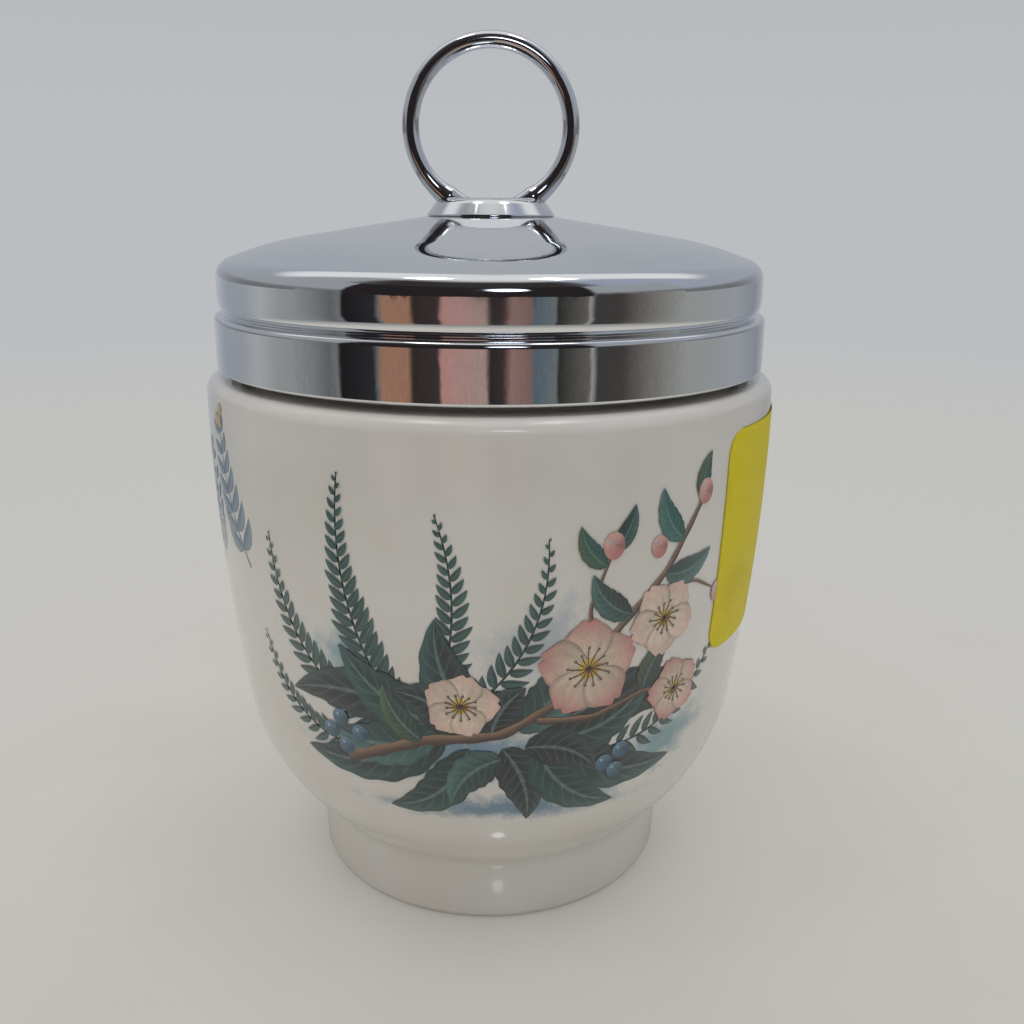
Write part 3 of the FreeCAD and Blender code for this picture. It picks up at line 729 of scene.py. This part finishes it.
def frond(base, tip, bend, pairs, reach, dark=INK, light=TEAL):
    """A fern frond: a thin stalk with leaflets that shorten towards its tip."""
    path = bow(base, tip, bend, pairs * 2 + 1)
    forward = np.gradient(path, axis=0)
    forward /= np.linalg.norm(forward, axis=1)[:, None]
    twig(path[::2], 0.28, 0.1, dark, light)
    for i in range(2, pairs * 2 + 1):
        share = i / (pairs * 2)
        size = reach * (1 - share) ** 0.7 * (0.55 + 0.45 * min(1, share * 4)) + 0.25
        side = 1 if i % 2 else -1
        lean = 0.95 - 0.35 * share
        across = np.array((-forward[i][1], forward[i][0])) * side
        heading = forward[i] * math.cos(lean) + across * math.sin(lean)
        end = path[i] + heading * size * (0.9 + 0.2 * dice.random())
        tint = lerp(dark, light, 0.25 + 0.75 * share)
        leaf(path[i], end, size * 0.3 + 0.12, 0.06 * side, tint * 0.75, lerp(tint, SEA, 0.5), wave=0.0)


print("leaves, twigs and fronds can be painted")


# %% Petals, berries and washes
def petal(centre, angle, length, width, inner=CREAM, outer=ROSE):
    """One broad petal with a notch at its end."""
    rows, columns = max(9, int(length / 0.35)), 11
    t = np.linspace(0, 1, rows)
    v = np.linspace(-1, 1, columns)
    heading = np.array((math.cos(angle), math.sin(angle)))
    sideways = np.array((-heading[1], heading[0]))
    swell = np.sin((t * 0.86 + 0.06) * math.pi) ** 0.6
    spread = width / 2 * swell * (0.35 + 0.65 * t ** 0.5)
    stretch = t[:, None] * (1 - 0.1 * np.exp(-(v[None, :] / 0.25) ** 2) * t[:, None] ** 3)
    stretch = stretch * (1 - 0.16 * v[None, :] ** 2 * t[:, None])
    grid = (np.array(centre)[None, None, :] + heading * (stretch * length)[..., None]
            + sideways * (spread[:, None] * v[None, :])[..., None])
    along = t[:, None, None]
    colours = lerp(inner, outer, np.clip(along ** 1.5 * 0.95, 0, 1)) * np.ones((1, columns, 1))
    side_shade = 1 - 0.16 * np.clip(v[None, :, None] * math.copysign(1, math.cos(angle + 0.6)), 0, 1)
    colours = lerp(colours, OCHRE, np.clip(0.75 - along * 3.2, 0, 1))
    lay(grid, colours * side_shade * (0.93 + 0.12 * dice.random()), kind=PETAL)


def disc(centre, radius, inner, outer, squash=1.0, highlight=True):
    """A round berry or flower heart, lighter at its upper left."""
    rows = 7
    turn = np.linspace(0, 2 * math.pi, 25)
    t = np.linspace(0.02, 1, rows)
    grid = np.array(centre)[None, None, :] + radius * t[:, None, None] * np.stack(
        [np.cos(turn), np.sin(turn) * squash], axis=1)[None]
    lit = 0.5 + 0.5 * (np.cos(turn - 2.2)[None, :] * t[:, None])
    colours = lerp(outer, inner, (lit ** 1.5)[..., None])
    lay(grid, colours)
    if highlight:
        spot = np.array(centre) + np.array((-0.32, 0.36)) * radius
        disc(spot, radius * 0.2, PALE, lerp(inner, PALE, 0.6), highlight=False)


def blossom(centre, radius, turn=0.0, inner=CREAM, outer=ROSE, squash=1.0):
    """Five petals round a golden heart with dark stamens."""
    for k in range(5):
        angle = turn + k * 2 * math.pi / 5
        reach = radius * (1 - (1 - squash) * abs(math.sin(angle)))
        petal(centre, angle, reach, radius * 1.12, inner, outer)
    disc(centre, radius * 0.2, GOLD, OCHRE, highlight=False)
    for k in range(13):
        angle = turn + 0.3 + k * 2 * math.pi / 13
        reach = radius * (0.3 + 0.14 * dice.random())
        end = (centre[0] + reach * math.cos(angle), centre[1] + reach * squash * math.sin(angle))
        lay(ribbon(bow(centre, end, 0.05, 6), np.full(6, 0.045), 3), BARK)
        disc(end, 0.13, TAN, BARK, highlight=False)


def wash(centre, across, up, colour, strength=0.8, lean=0.0):
    """A thin pool of colour with an uneven edge that fades into the white china."""
    rows, columns = 12, max(25, int(across * 4))
    t = np.linspace(0.01, 1, rows)[:, None]
    turn = np.linspace(0, 2 * math.pi, columns)[None, :]
    edge = 1 + 0.14 * np.sin(3 * turn + dice.random() * 6) + 0.08 * np.sin(7 * turn + dice.random() * 6)
    x, z = across * t * edge * np.cos(turn), up * t * edge * np.sin(turn)
    grid = np.stack([centre[0] + x * math.cos(lean) - z * math.sin(lean),
                     centre[1] + x * math.sin(lean) + z * math.cos(lean)], axis=2)
    cover = strength * np.clip(1.15 - t, 0, 1) + 0 * turn
    lay(grid, np.asarray(colour), kind=WASH, cover=cover)


print("petals, berries and washes can be painted")

# %% [markdown]
# ### Composing the spray
#
# The picture sits on the front of the cup. A brown twig rises from a dark clump of leaves low down,
# and carries blossom to the right. Ferns stand up behind, most of them on the left, and pale washes
# behind those keep the clump from looking cut out. Two light sprigs stand at the far left, and a
# plain spray fills the back. Painting goes from the back to the front, as with real paint.

# %% Washes and ferns behind
wash((-3.0, 22.5), 17.0, 4.2, lerp(STEEL, PALE, 0.45), 0.75)
wash((4.0, 33.0), 7.5, 4.5, lerp(PALE, BLUSH, 0.25), 0.6, 0.4)
wash((-12.5, 30.5), 5.5, 3.8, lerp(PALE, SEA, 0.3), 0.7, -0.5)
wash((17.5, 21.0), 7.0, 3.4, lerp(SEA, PALE, 0.5), 0.75, 0.25)
wash((2.0, 16.6), 15.0, 2.0, lerp(STEEL, PALE, 0.35), 0.75)
for base, tip, bend, pairs, reach in (
        ((-7.5, 25.0), (-12.6, 46.6), 0.10, 20, 3.3), ((-9.0, 24.0), (-20.8, 40.2), 0.16, 17, 3.0),
        ((-5.5, 26.0), (-4.4, 43.8), -0.10, 17, 2.8), ((-3.0, 26.0), (4.6, 41.8), -0.14, 15, 2.6),
        ((-10.0, 22.0), (-23.0, 30.4), 0.22, 14, 2.4), ((8.0, 22.0), (24.0, 31.5), -0.18, 14, 2.4)):
    frond(base, tip, bend, pairs, reach)
print(len(strokes), "strokes so far")

# %% Dark clump of leaves
CLUMP_LIFT = 2.0
for base, tip, width, bend, dark, light in (
        ((-4, 23), (-19.5, 24.4), 5.2, -0.12, INK, DEEP), ((-4, 22), (-18.5, 18.8), 4.6, 0.10, INK, TEAL),
        ((4, 22), (18.5, 17.6), 4.8, -0.12, INK, TEAL), ((5, 23), (21.6, 23.4), 5.0, 0.12, INK, DEEP),
        ((-2, 21), (-9.6, 14.6), 4.2, 0.16, DEEP, TEAL), ((1, 21), (3.4, 13.6), 4.2, 0.10, INK, DEEP),
        ((4, 21), (12.2, 14.4), 4.2, -0.14, DEEP, TEAL), ((-3, 23), (-13.4, 30.2), 4.8, 0.12, DEEP, TEAL),
        ((0, 23), (-4.6, 33.6), 4.6, 0.14, INK, TEAL), ((2, 23), (6.8, 31.8), 4.4, -0.16, DEEP, SEA),
        ((4, 22), (15.0, 27.2), 4.2, -0.16, INK, TEAL), ((-5, 22), (-15.5, 21.8), 4.4, 0.10, DEEP, SEA),
        ((-2, 22), (-8.6, 26.6), 4.4, -0.15, INK, DEEP), ((1, 20), (-3.6, 15.6), 3.6, -0.15, DEEP, SEA),
        ((3, 21), (9.8, 18.4), 3.8, 0.15, INK, DEEP), ((0, 22), (3.0, 27.4), 3.8, 0.12, INK, DEEP)):
    leaf((base[0], base[1] + CLUMP_LIFT), (tip[0], tip[1] + CLUMP_LIFT * 0.75), width, bend, dark, light)
print(len(strokes), "strokes so far")

# %% Twig, blossom and berries
twig([(-13.5, 20.5), (-6.0, 23.6), (1.0, 24.4), (7.0, 28.0), (11.0, 33.5), (15.6, 38.0), (19.2, 43.6)],
     1.15, 0.4)
twig([(4.0, 25.6), (9.0, 25.4), (14.0, 27.0), (18.5, 26.2)], 0.7, 0.3)
twig([(9.0, 30.6), (8.2, 35.6), (10.0, 40.4)], 0.5, 0.22)
twig([(13.6, 36.0), (19.0, 36.4), (22.4, 34.6)], 0.45, 0.22)
for base, tip, width, bend, dark, light in (
        ((12.2, 34.6), (8.4, 38.6), 2.4, 0.14, DEEP, SEA),
        ((15.4, 37.6), (20.8, 39.0), 2.4, -0.14, DEEP, SEA),
        ((17.2, 40.4), (14.6, 45.2), 2.2, 0.12, TEAL, SEA),
        ((19.2, 43.6), (20.0, 47.6), 1.7, 0.10, TEAL, MOSS),
        ((9.6, 39.2), (7.2, 42.8), 1.8, 0.12, TEAL, MOSS),
        ((10.0, 40.4), (11.9, 44.2), 1.7, -0.10, DEEP, SEA),
        ((14.0, 27.0), (16.6, 31.4), 2.4, 0.12, DEEP, MOSS),
        ((-6.0, 23.6), (-9.4, 28.6), 2.6, 0.12, DEEP, MOSS)):
    leaf(base, tip, width, bend, dark, light)
blossom((8.4, 30.2), 4.7, 0.35)
blossom((15.6, 33.6), 3.7, 0.9, CREAM, BLUSH)
blossom((-2.6, 27.2), 3.6, 0.1, CREAM, BLUSH, 0.85)
blossom((17.8, 26.2), 3.3, 0.6)
for bud, size in (((10.1, 40.9), 0.95), ((19.5, 44.2), 0.9), ((22.6, 34.4), 0.85), ((14.5, 40.2), 0.8)):
    disc(bud, size, BLUSH, ROSE, 1.25)
for berry in ((-13.6, 21.6), (-15.2, 22.9), (-12.0, 23.2), (-14.0, 24.4),
              (10.6, 20.4), (12.2, 21.4), (11.8, 19.4)):
    disc(berry, 0.85, lerp(STEEL, PALE, 0.3), lerp(STEEL, INK, 0.45))
print(len(strokes), "strokes so far")


# %% Small sprigs on the left and at the back
def sprig(foot_at, top, bend, pairs, size, dark, light, bud):
    """A light sprig of paired leaves with buds near its top."""
    path = bow(foot_at, top, bend, pairs + 2)
    twig(path, 0.3, 0.14, dark, light)
    heading = np.array(top, float) - np.array(foot_at, float)
    heading /= np.linalg.norm(heading)
    across = np.array((-heading[1], heading[0]))
    for i in range(1, pairs + 1):
        length = size * (1.15 - 0.6 * i / pairs)
        for side in (-1, 1):
            tip = path[i] + heading * length * 0.75 + across * side * length * 0.75
            leaf(path[i], tip, length * 0.42, 0.12 * side, dark, light)
    for k, side in enumerate((-0.5, 0.6, 0.0)):
        bud_at = path[-1] + across * side * size * 0.4 - heading * 0.5 * k
        disc(bud_at, size * 0.16, lerp(bud, CREAM, 0.4), bud, 1.15)


sprig((-24.5, 36.0), (-29.2, 49.4), 0.08, 7, 3.2, STEEL, PALE, OCHRE)
sprig((-33.6, 34.0), (-33.8, 46.0), -0.10, 6, 3.0, lerp(STEEL, TEAL, 0.5), PALE, GOLD)
BACK = WIDEST * math.pi
wash((BACK, 21.0), 12.0, 2.4, lerp(STEEL, PALE, 0.5), 0.7)
for x, z, top_x, top_z, bend, pairs in (
        (0, 22, 1.5, 46, 0.08, 11), (-1, 24, -11, 41, 0.14, 8), (1, 24, 12, 38, -0.14, 8)):
    sprig((BACK + x, z), (BACK + top_x, top_z), bend, pairs, 3.8, DEEP, SEA, ROSE)
for tip_x, tip_z, width, bend in (
        (-14, 22.5, 4.2, -0.12), (-10, 17.6, 4.0, 0.12), (-3.5, 14.8, 3.8, 0.12),
        (4.5, 15.2, 3.8, -0.12), (11.5, 18.2, 4.0, -0.1), (14.5, 24.0, 4.2, 0.12)):
    leaf((BACK, 23.0), (BACK + tip_x, tip_z), width, bend, INK, TEAL)
for x, z, size, turn in ((0.2, 25.0, 4.0, 0.5), (-6.6, 24.2, 3.0, 0.2), (6.4, 26.4, 3.2, 0.8)):
    blossom((BACK + x, z), size, turn, CREAM, ROSE if x < 1 else BLUSH)
print(len(strokes), "strokes in all")

# %% [markdown]
# ### Wrapping the picture round the cup
#
# Up to here the strokes lie flat, on the cup's wall unrolled. Each is now bent onto the wall. A
# coarse grid of cells remembers how many strokes cover each spot, so that a new stroke lies just
# above those that it crosses and no two of them flicker through each other.

# %% Wrapping the strokes round the cup
CELL, CELLS_ROUND, CELLS_UP = 0.3, 900, 200
LOWEST_LIFT, LAYER_LIFT = 0.008, 0.003
WIDENED_LOW = 0.35  # lower down the wall is narrower, and strokes get this share of it back
stacked = np.zeros((CELLS_ROUND, CELLS_UP), int)
places, pigments, marks, faces = [], [], [], []
first = 0
for grid, pigment, mark in strokes:
    cells = np.unique(np.round(grid.reshape(-1, 2) / CELL).astype(int), axis=0)
    around_them = [cells + (dx, dz) for dx in (-1, 0, 1) for dz in (-1, 0, 1)]
    near = np.unique(np.concatenate(around_them), axis=0)
    columns_hit, rows_hit = near[:, 0] % CELLS_ROUND, near[:, 1] % CELLS_UP
    level = stacked[columns_hit, rows_hit].max() + 1
    stacked[columns_hit, rows_hit] = level
    z = grid[..., 1]
    narrowed = (WIDEST - cup_radius(z)) / WIDEST
    azimuth = np.degrees(grid[..., 0] / WIDEST * (1 + WIDENED_LOW * narrowed))
    places.append(on_cup(azimuth, z, LOWEST_LIFT + LAYER_LIFT * level).reshape(-1, 3))
    pigments.append(pigment.reshape(-1, 4))
    marks.append(mark.reshape(-1, 3))
    faces.append(quads_of(first + np.arange(z.size).reshape(z.shape)))
    first += z.size
deepest = stacked.max()
spray_mesh = bpy.data.meshes.new("painted_spray")
spray_mesh.from_pydata((np.concatenate(places) * MM).tolist(), [], np.concatenate(faces).tolist())
for name, kind, values in (("pigment", "FLOAT_COLOR", np.concatenate(pigments)),
                           ("stroke", "FLOAT_VECTOR", np.concatenate(marks))):
    layer = spray_mesh.attributes.new(name, kind, "POINT")
    layer.data.foreach_set("color" if kind == "FLOAT_COLOR" else "vector", values.ravel())
facing = np.zeros(len(spray_mesh.polygons) * 3)
spray_mesh.polygons.foreach_get("normal", facing)
middles = np.zeros(len(spray_mesh.polygons) * 3)
spray_mesh.polygons.foreach_get("center", middles)
inward = (facing.reshape(-1, 3)[:, :2] * middles.reshape(-1, 3)[:, :2]).sum(axis=1) < 0
for polygon in np.flatnonzero(inward):
    spray_mesh.polygons[int(polygon)].flip()
spray_mesh.update()
painted_spray = add_piece("painted_spray", spray_mesh)
print(len(strokes), "strokes are stacked at most", deepest, "deep,",
      round(LOWEST_LIFT + LAYER_LIFT * deepest, 3), "mm off the china")

# %% [markdown]
# ## Paint
#
# The paint is fired, so it has the same gloss as the china round it. Its colour comes from the
# points of the strokes, and nodes add what a brush leaves: grain in the pigment, a darker rim where
# it dried, a pale midrib and side veins on the leaves and fine streaks on the petals. Where a wash
# thins out, it gives way to the colour of the china.

# %% Paint material
paint, w = new_material("fired_paint")
at = place(w)
pigment = w.make("Attribute", {"attribute_name": "pigment"}, output="Color")
cover = w.make("Attribute", {"attribute_name": "pigment"}, output="Alpha")
mark = w.make("Attribute", {"attribute_name": "stroke"}, output="Vector")
t, v, kind = (mark.part(letter) for letter in "XYZ")
off_middle = v.maths("ABSOLUTE")
grain = mottle(w, at, 0.00022, detail=3.0, roughness=0.7)
pool = mottle(w, at, 0.0013, detail=3.0)
is_leaf = 1.0 - (kind - LEAF).maths("ABSOLUTE").ease(0.2, 0.5)
is_petal = 1.0 - (kind - PETAL).maths("ABSOLUTE").ease(0.2, 0.5)
is_wash = (kind - (PETAL + WASH) / 2).ease(0.1, 0.3)
midrib = off_middle.ease(0.02, 0.14, 1.0, 0.0)
side_vein = (t * 8.0 - off_middle * 1.6).maths("FRACT") - 0.5
side_vein = side_vein.maths("ABSOLUTE").ease(0.02, 0.16, 1.0, 0.0) * off_middle.ease(0.95, 0.6)
veins = is_leaf * (midrib * 0.55 + side_vein * 0.22)
streaks = is_petal * ((v * 13.0 + pool * 2.0).maths("SINE") * 0.5 + 0.5) * t.ease(0.9, 0.25) * 0.3
rim = (1.0 - is_wash) * off_middle.ease(0.72, 1.0) * 0.28
depth = 0.95 - is_leaf * 0.14 + (grain - 0.5) * 0.5 + (pool - 0.5) * 0.45 - rim - streaks * 0.5
toned = pigment * depth
veined = blend_colours(veins, toned, toned * 0.5 + Vector(lerp(PALE, MOSS, 0.35) * 0.6))
china_here = blend_colours(mottle(w, at, CLOUD_SIZE).ease(0.3, 0.7), *CHINA_WHITES)
held = (cover + (grain - 0.5) * 0.5 + (pool - 0.5) * 0.7).ease(0.12, 0.75)
finish_surface(w, {
    "Base Color": blend_colours((1.0 - is_wash) + is_wash * held, china_here, veined),
    "Roughness": 0.32,
    "Coat Weight": 1.0,
    **GLAZE,
    "Coat Roughness": 0.05,
}, bump=ripple(w, at))
dress(painted_spray, paint, "cup", "porcelain")

# %% [markdown]
# ## The table
#
# The coddler stands on a plain pale table. Near the cup the table is lit and shaded like anything
# else, except that about a third of what the camera sees of it there is still the glowing backdrop:
# painted light that softens the cup's shadow on it. Farther off it turns wholly into a plain pale
# backdrop, as a roll of studio paper would. Light Path tells the camera from reflections: these
# see the far table in greys that change round the cup, because a real room is darker on some sides.
# They also see one small bright disc close to the foot. It stands for a lamp mirrored in the table,
# and puts the bright spot on the front of the foot.

# %% Floor
HALF_TABLE = 6.0
NEAR_TINTS = (shade(224, 221, 212), shade(229, 226, 218))
FAR_TINTS, FRONT_TINT = (shade(195, 194, 190), shade(187, 189, 192)), shade(181, 179, 171)
# even beside the cup the camera sees about a third of the glowing backdrop: painted light that lifts the
# cup's shadow on the table
PLAIN_FROM, PLAIN_AT, NEAR_GLOW_SHARE = 0.03, 0.13, 0.35
MIRRORED_FROM, MIRRORED_AT = 0.09, 0.17
MIRRORED_TINTS = [
    (0.0, (182, 186, 192)), (0.08, (176, 180, 188)), (0.13, (150, 156, 164)), (0.18, (152, 157, 163)),
    (0.215, (168, 171, 172)), (0.25, (146, 150, 150)), (0.29, (136, 140, 142)), (0.70, (138, 138, 134)),
    (0.73, (148, 151, 148)), (0.82, (152, 156, 162)), (0.88, (136, 140, 148)), (0.93, (170, 174, 181)),
    (1.0, (182, 186, 192))]
GLARE_AT, GLARE_COLOUR = Vector((0.0011, -0.0230, 0.0)), (2.2, 2.1, 2.3)
GLARE_CORE, GLARE_EDGE = 0.0006, 0.0014

floor_mesh = bpy.data.meshes.new("table")
corners = [(x * HALF_TABLE, y * HALF_TABLE, 0) for x, y in ((-1, -1), (1, -1), (1, 1), (-1, 1))]
floor_mesh.from_pydata(corners, [], [(0, 1, 2, 3)])
floor = bpy.data.objects.new("table", floor_mesh)
bpy.context.scene.collection.objects.link(floor)
table_top, w = new_material("pale_table")
at = place(w)
away = at.length()
near_tint = blend_colours(mottle(w, at, 0.02, detail=3.0).ease(0.3, 0.7), *NEAR_TINTS)
matt = w.make("BsdfPrincipled", None, {"Base Color": near_tint, "Roughness": 0.55})
at_front = at.part("Y").ease(-0.09, 0.02, 1.0, 0.0) * away.ease(0.1, 0.3, 1.0, 0.0)
far_tint = blend_colours(at_front, blend_colours(away.ease(0.05, 0.6), *FAR_TINTS), FRONT_TINT)
around_table = at.bearing() / (2 * math.pi) + 0.5
mirrored_tint = w.make("ValToRGB", {"stops": MIRRORED_TINTS}, {"Fac": around_table})
glare = (at - GLARE_AT).length().ease(GLARE_CORE, GLARE_EDGE, 1.0, 0.0)
mirrored_tint = blend_colours(glare, mirrored_tint, GLARE_COLOUR)
seen, mirrored = ray_kinds(w)
backdrop = w.make("Emission", None, {"Color": blend_colours(mirrored, far_tint, mirrored_tint)})
# the glowing share never drops below about a third, so near the cup it is painted light laid over the real
# shading
plain_share = (seen * away.ease(PLAIN_FROM, PLAIN_AT, NEAR_GLOW_SHARE, 1.0)
               + mirrored * (away.ease(MIRRORED_FROM, MIRRORED_AT) + glare))
shown = w.make("MixShader", None, {0: plain_share, 1: matt, 2: backdrop})
w.make("OutputMaterial", None, {"Surface": shown})
floor_mesh.materials.append(table_top)
print("the table reaches", HALF_TABLE, "m each way")

# %% [markdown]
# ## A room for the chrome
#
# A mirror needs something to show, and matt china needs soft light. One world gives both. The camera
# sees a plain pale backdrop in it. Mirrors see a room with pale walls, a dark stretch in front and a
# bright ceiling that comes lower on both sides at the back. Matt surfaces see a soft sky, bright
# overhead and dimmer at the sides, and most of their light comes from there.

# %% World
WALL_TINTS = [
    (0.0, (173, 176, 182)), (0.11, (158, 163, 172)), (0.19, (154, 158, 164)), (0.30, (150, 154, 158)),
    (0.33, (76, 73, 74)), (0.36, (52, 48, 49)), (0.60, (52, 48, 49)), (0.625, (84, 82, 86)),
    (0.65, (150, 158, 176)), (0.75, (154, 161, 178)), (0.81, (156, 160, 168)), (0.89, (158, 163, 172)),
    (1.0, (173, 176, 182))]
LOW_WALL, CEILING = shade(112, 113, 116), shade(224, 225, 227)
BACKDROP = (shade(188, 190, 193), shade(175, 174, 180))
SIDE_LIGHT, LIGHT_ABOVE = (shade(114, 110, 104), shade(92, 98, 103)), shade(240, 240, 242)

world = bpy.data.worlds.new("room")
bpy.context.scene.world = world
world.use_nodes = True
world.node_tree.nodes.clear()
w = Wire(world.node_tree)
towards = w.make("TexCoord", output="Generated")
upness = towards.part("Z")
around_room = towards.bearing() / (2 * math.pi) + 0.5
walls = w.make("ValToRGB", {"stops": WALL_TINTS}, {"Fac": around_room})
low = upness.ease(0.11, 0.26, 1.0, 0.0) * (around_room - 0.5).maths("ABSOLUTE").ease(0.3, 0.44, 1.0, 0.0)
comes_lower = towards.part("X").maths("ABSOLUTE") * towards.part("Y").ease(-0.1, 0.3, 0.0, 0.46)
overhead = (upness + comes_lower).ease(0.86, 0.99)
room = blend_colours(overhead, blend_colours(low, walls, LOW_WALL), CEILING)
behind = blend_colours(upness.ease(-0.02, 0.5), *BACKDROP)
side_light = blend_colours(towards.part("X").ease(-0.8, 0.8), *SIDE_LIGHT)
soft_light = blend_colours(upness.ease(0.0, 1.0), side_light, LIGHT_ABOVE)
seen, mirrored = ray_kinds(w)
shown = blend_colours(seen, blend_colours(mirrored, soft_light, room), behind)
background = w.make("Background", None, {"Color": shown, "Strength": 1.0})
w.make("OutputWorld", None, {"Surface": background})
print("the room has", len(WALL_TINTS), "wall colours")

# %% [markdown]
# ## A card for the lid's bands
#
# The two bands of the lid mirror upright strips of brown, rose, grey and black. A bent card with
# such strips stands round the front, behind the camera. Only reflections see it: the camera doesn't,
# and it gives matt surfaces no light and throws no shadow. Above the strips it is dark in the middle
# and grey at the sides, and one bluish light on it gives the glint on the lid's rim.

# %% Card of coloured strips in front
CARD_RADIUS, CARD_LEFT, CARD_RIGHT, CARD_BOTTOM, CARD_TOP = 165.0, -76.0, 76.0, 0.5, 175.0
STRIPS = [
    (-76, (136, 140, 142)), (-68, (122, 126, 127)), (-60, (98, 100, 100)), (-56, (112, 114, 114)),
    (-55, (30, 28, 30)), (-42, (44, 42, 44)), (-41, (80, 92, 98)), (-39, (150, 114, 96)),
    (-29, (150, 112, 92)), (-27.5, (50, 44, 44)), (-18, (58, 50, 50)), (-17, (174, 130, 124)),
    (-1.5, (160, 138, 130)), (-0.3, (44, 40, 42)), (4.6, (60, 50, 50)), (7, (140, 112, 104)),
    (14.5, (120, 96, 94)), (15.5, (84, 98, 108)), (23, (104, 112, 112)), (23.5, (44, 44, 46)),
    (34.5, (96, 92, 86)), (35.5, (150, 152, 150)), (38, (60, 60, 60)), (48, (66, 62, 60)),
    (56, (100, 96, 94)), (66, (128, 126, 122)), (76, (146, 149, 147))]
SIDE_TINTS, DARK = (shade(112, 113, 116), shade(150, 154, 158)), shade(38, 34, 36)
DARK_MIDDLE, DARK_HALF, DARK_EDGE = math.radians(-9), math.radians(45), math.radians(47.5)
GLINT_AT, GLINT_HALF, GLINT_HEIGHT, GLINT_REACH = math.radians(6), math.radians(8), 0.132, 0.018
GLINT_COLOUR = (3.4, 3.9, 4.6)

card_turn = np.radians(np.linspace(CARD_LEFT, CARD_RIGHT, 60))
card_grid = spin(np.array([(CARD_RADIUS, CARD_BOTTOM), (CARD_RADIUS, CARD_TOP)]), turn=card_turn)
card = skin("room_card", card_grid, loop_columns=False, recalculate=False)
strips_paint, w = new_material("strips_of_colour")
at = place(w)
wobble = mottle(w, at, 0.012, detail=3.0) - 0.5
ragged = mottle(w, at, 0.0022, detail=3.0, roughness=0.7)
bearing = at.bearing() + wobble * 0.03 + (ragged - 0.5) * 0.03
across_card = (bearing - math.radians(CARD_LEFT)) / math.radians(CARD_RIGHT - CARD_LEFT)
stops = [((angle - CARD_LEFT) / (CARD_RIGHT - CARD_LEFT), colour) for angle, colour in STRIPS]
streaked = w.make("ValToRGB", {"stops": stops}, {"Fac": across_card}) * (0.7 + ragged * 0.6)
height = at.part("Z") + wobble * 0.02
in_middle = (bearing - DARK_MIDDLE).maths("ABSOLUTE").ease(DARK_HALF, DARK_EDGE, 1.0, 0.0)
above_strips = height.ease(0.05, 0.055) * in_middle + height.ease(0.066, 0.08) * (1.0 - in_middle)
above_tint = blend_colours(in_middle, blend_colours(at.part("Z").ease(0.078, 0.1), *SIDE_TINTS), DARK)
painted = blend_colours(above_strips, streaked, above_tint)
glint_across = (bearing - GLINT_AT) / GLINT_HALF
glint_up = (at.part("Z") - GLINT_HEIGHT) / GLINT_REACH
glint = (glint_across * glint_across + glint_up * glint_up).ease(0.4, 1.2, 1.0, 0.0)
lit = blend_colours(glint, painted, GLINT_COLOUR)
w.make("OutputMaterial", None, {"Surface": w.make("Emission", None, {"Color": lit})})
card.data.materials.append(strips_paint)
card.visible_camera = False
card.visible_diffuse = False
card.visible_shadow = False
print("the card spans", round(CARD_RIGHT - CARD_LEFT), "degrees in", len(STRIPS), "colour stops")

# %% [markdown]
# ## Lamps
#
# Two small lamps overhead, a little in front of the cup, give the paired glints on the ring, its foot
# and the lid. A broad soft lamp, which mirrors don't see, lifts the front against the room's light.

# %% Lamps
LID_CENTRE = Vector((0, 0, 0.06))


def lamp(name, at, size, watts):
    """A square soft lamp that faces the lid."""
    data = bpy.data.lights.new(name, "AREA")
    data.size = size
    data.energy = watts
    hung = bpy.data.objects.new(name, data)
    bpy.context.scene.collection.objects.link(hung)
    hung.location = at
    hung.rotation_euler = (LID_CENTRE - hung.location).to_track_quat("-Z", "Y").to_euler()
    return hung


for name, side in (("ceiling_left", -1), ("ceiling_right", 1)):
    lamp(name, Vector((side * 0.112, -0.045, 0.47)), 0.07, 0.06)
soft_lamp = lamp("soft_overhead", Vector((-0.1, -0.12, 0.6)), 0.5, 0.27)
soft_lamp.visible_glossy = False
print("three lamps light the table")
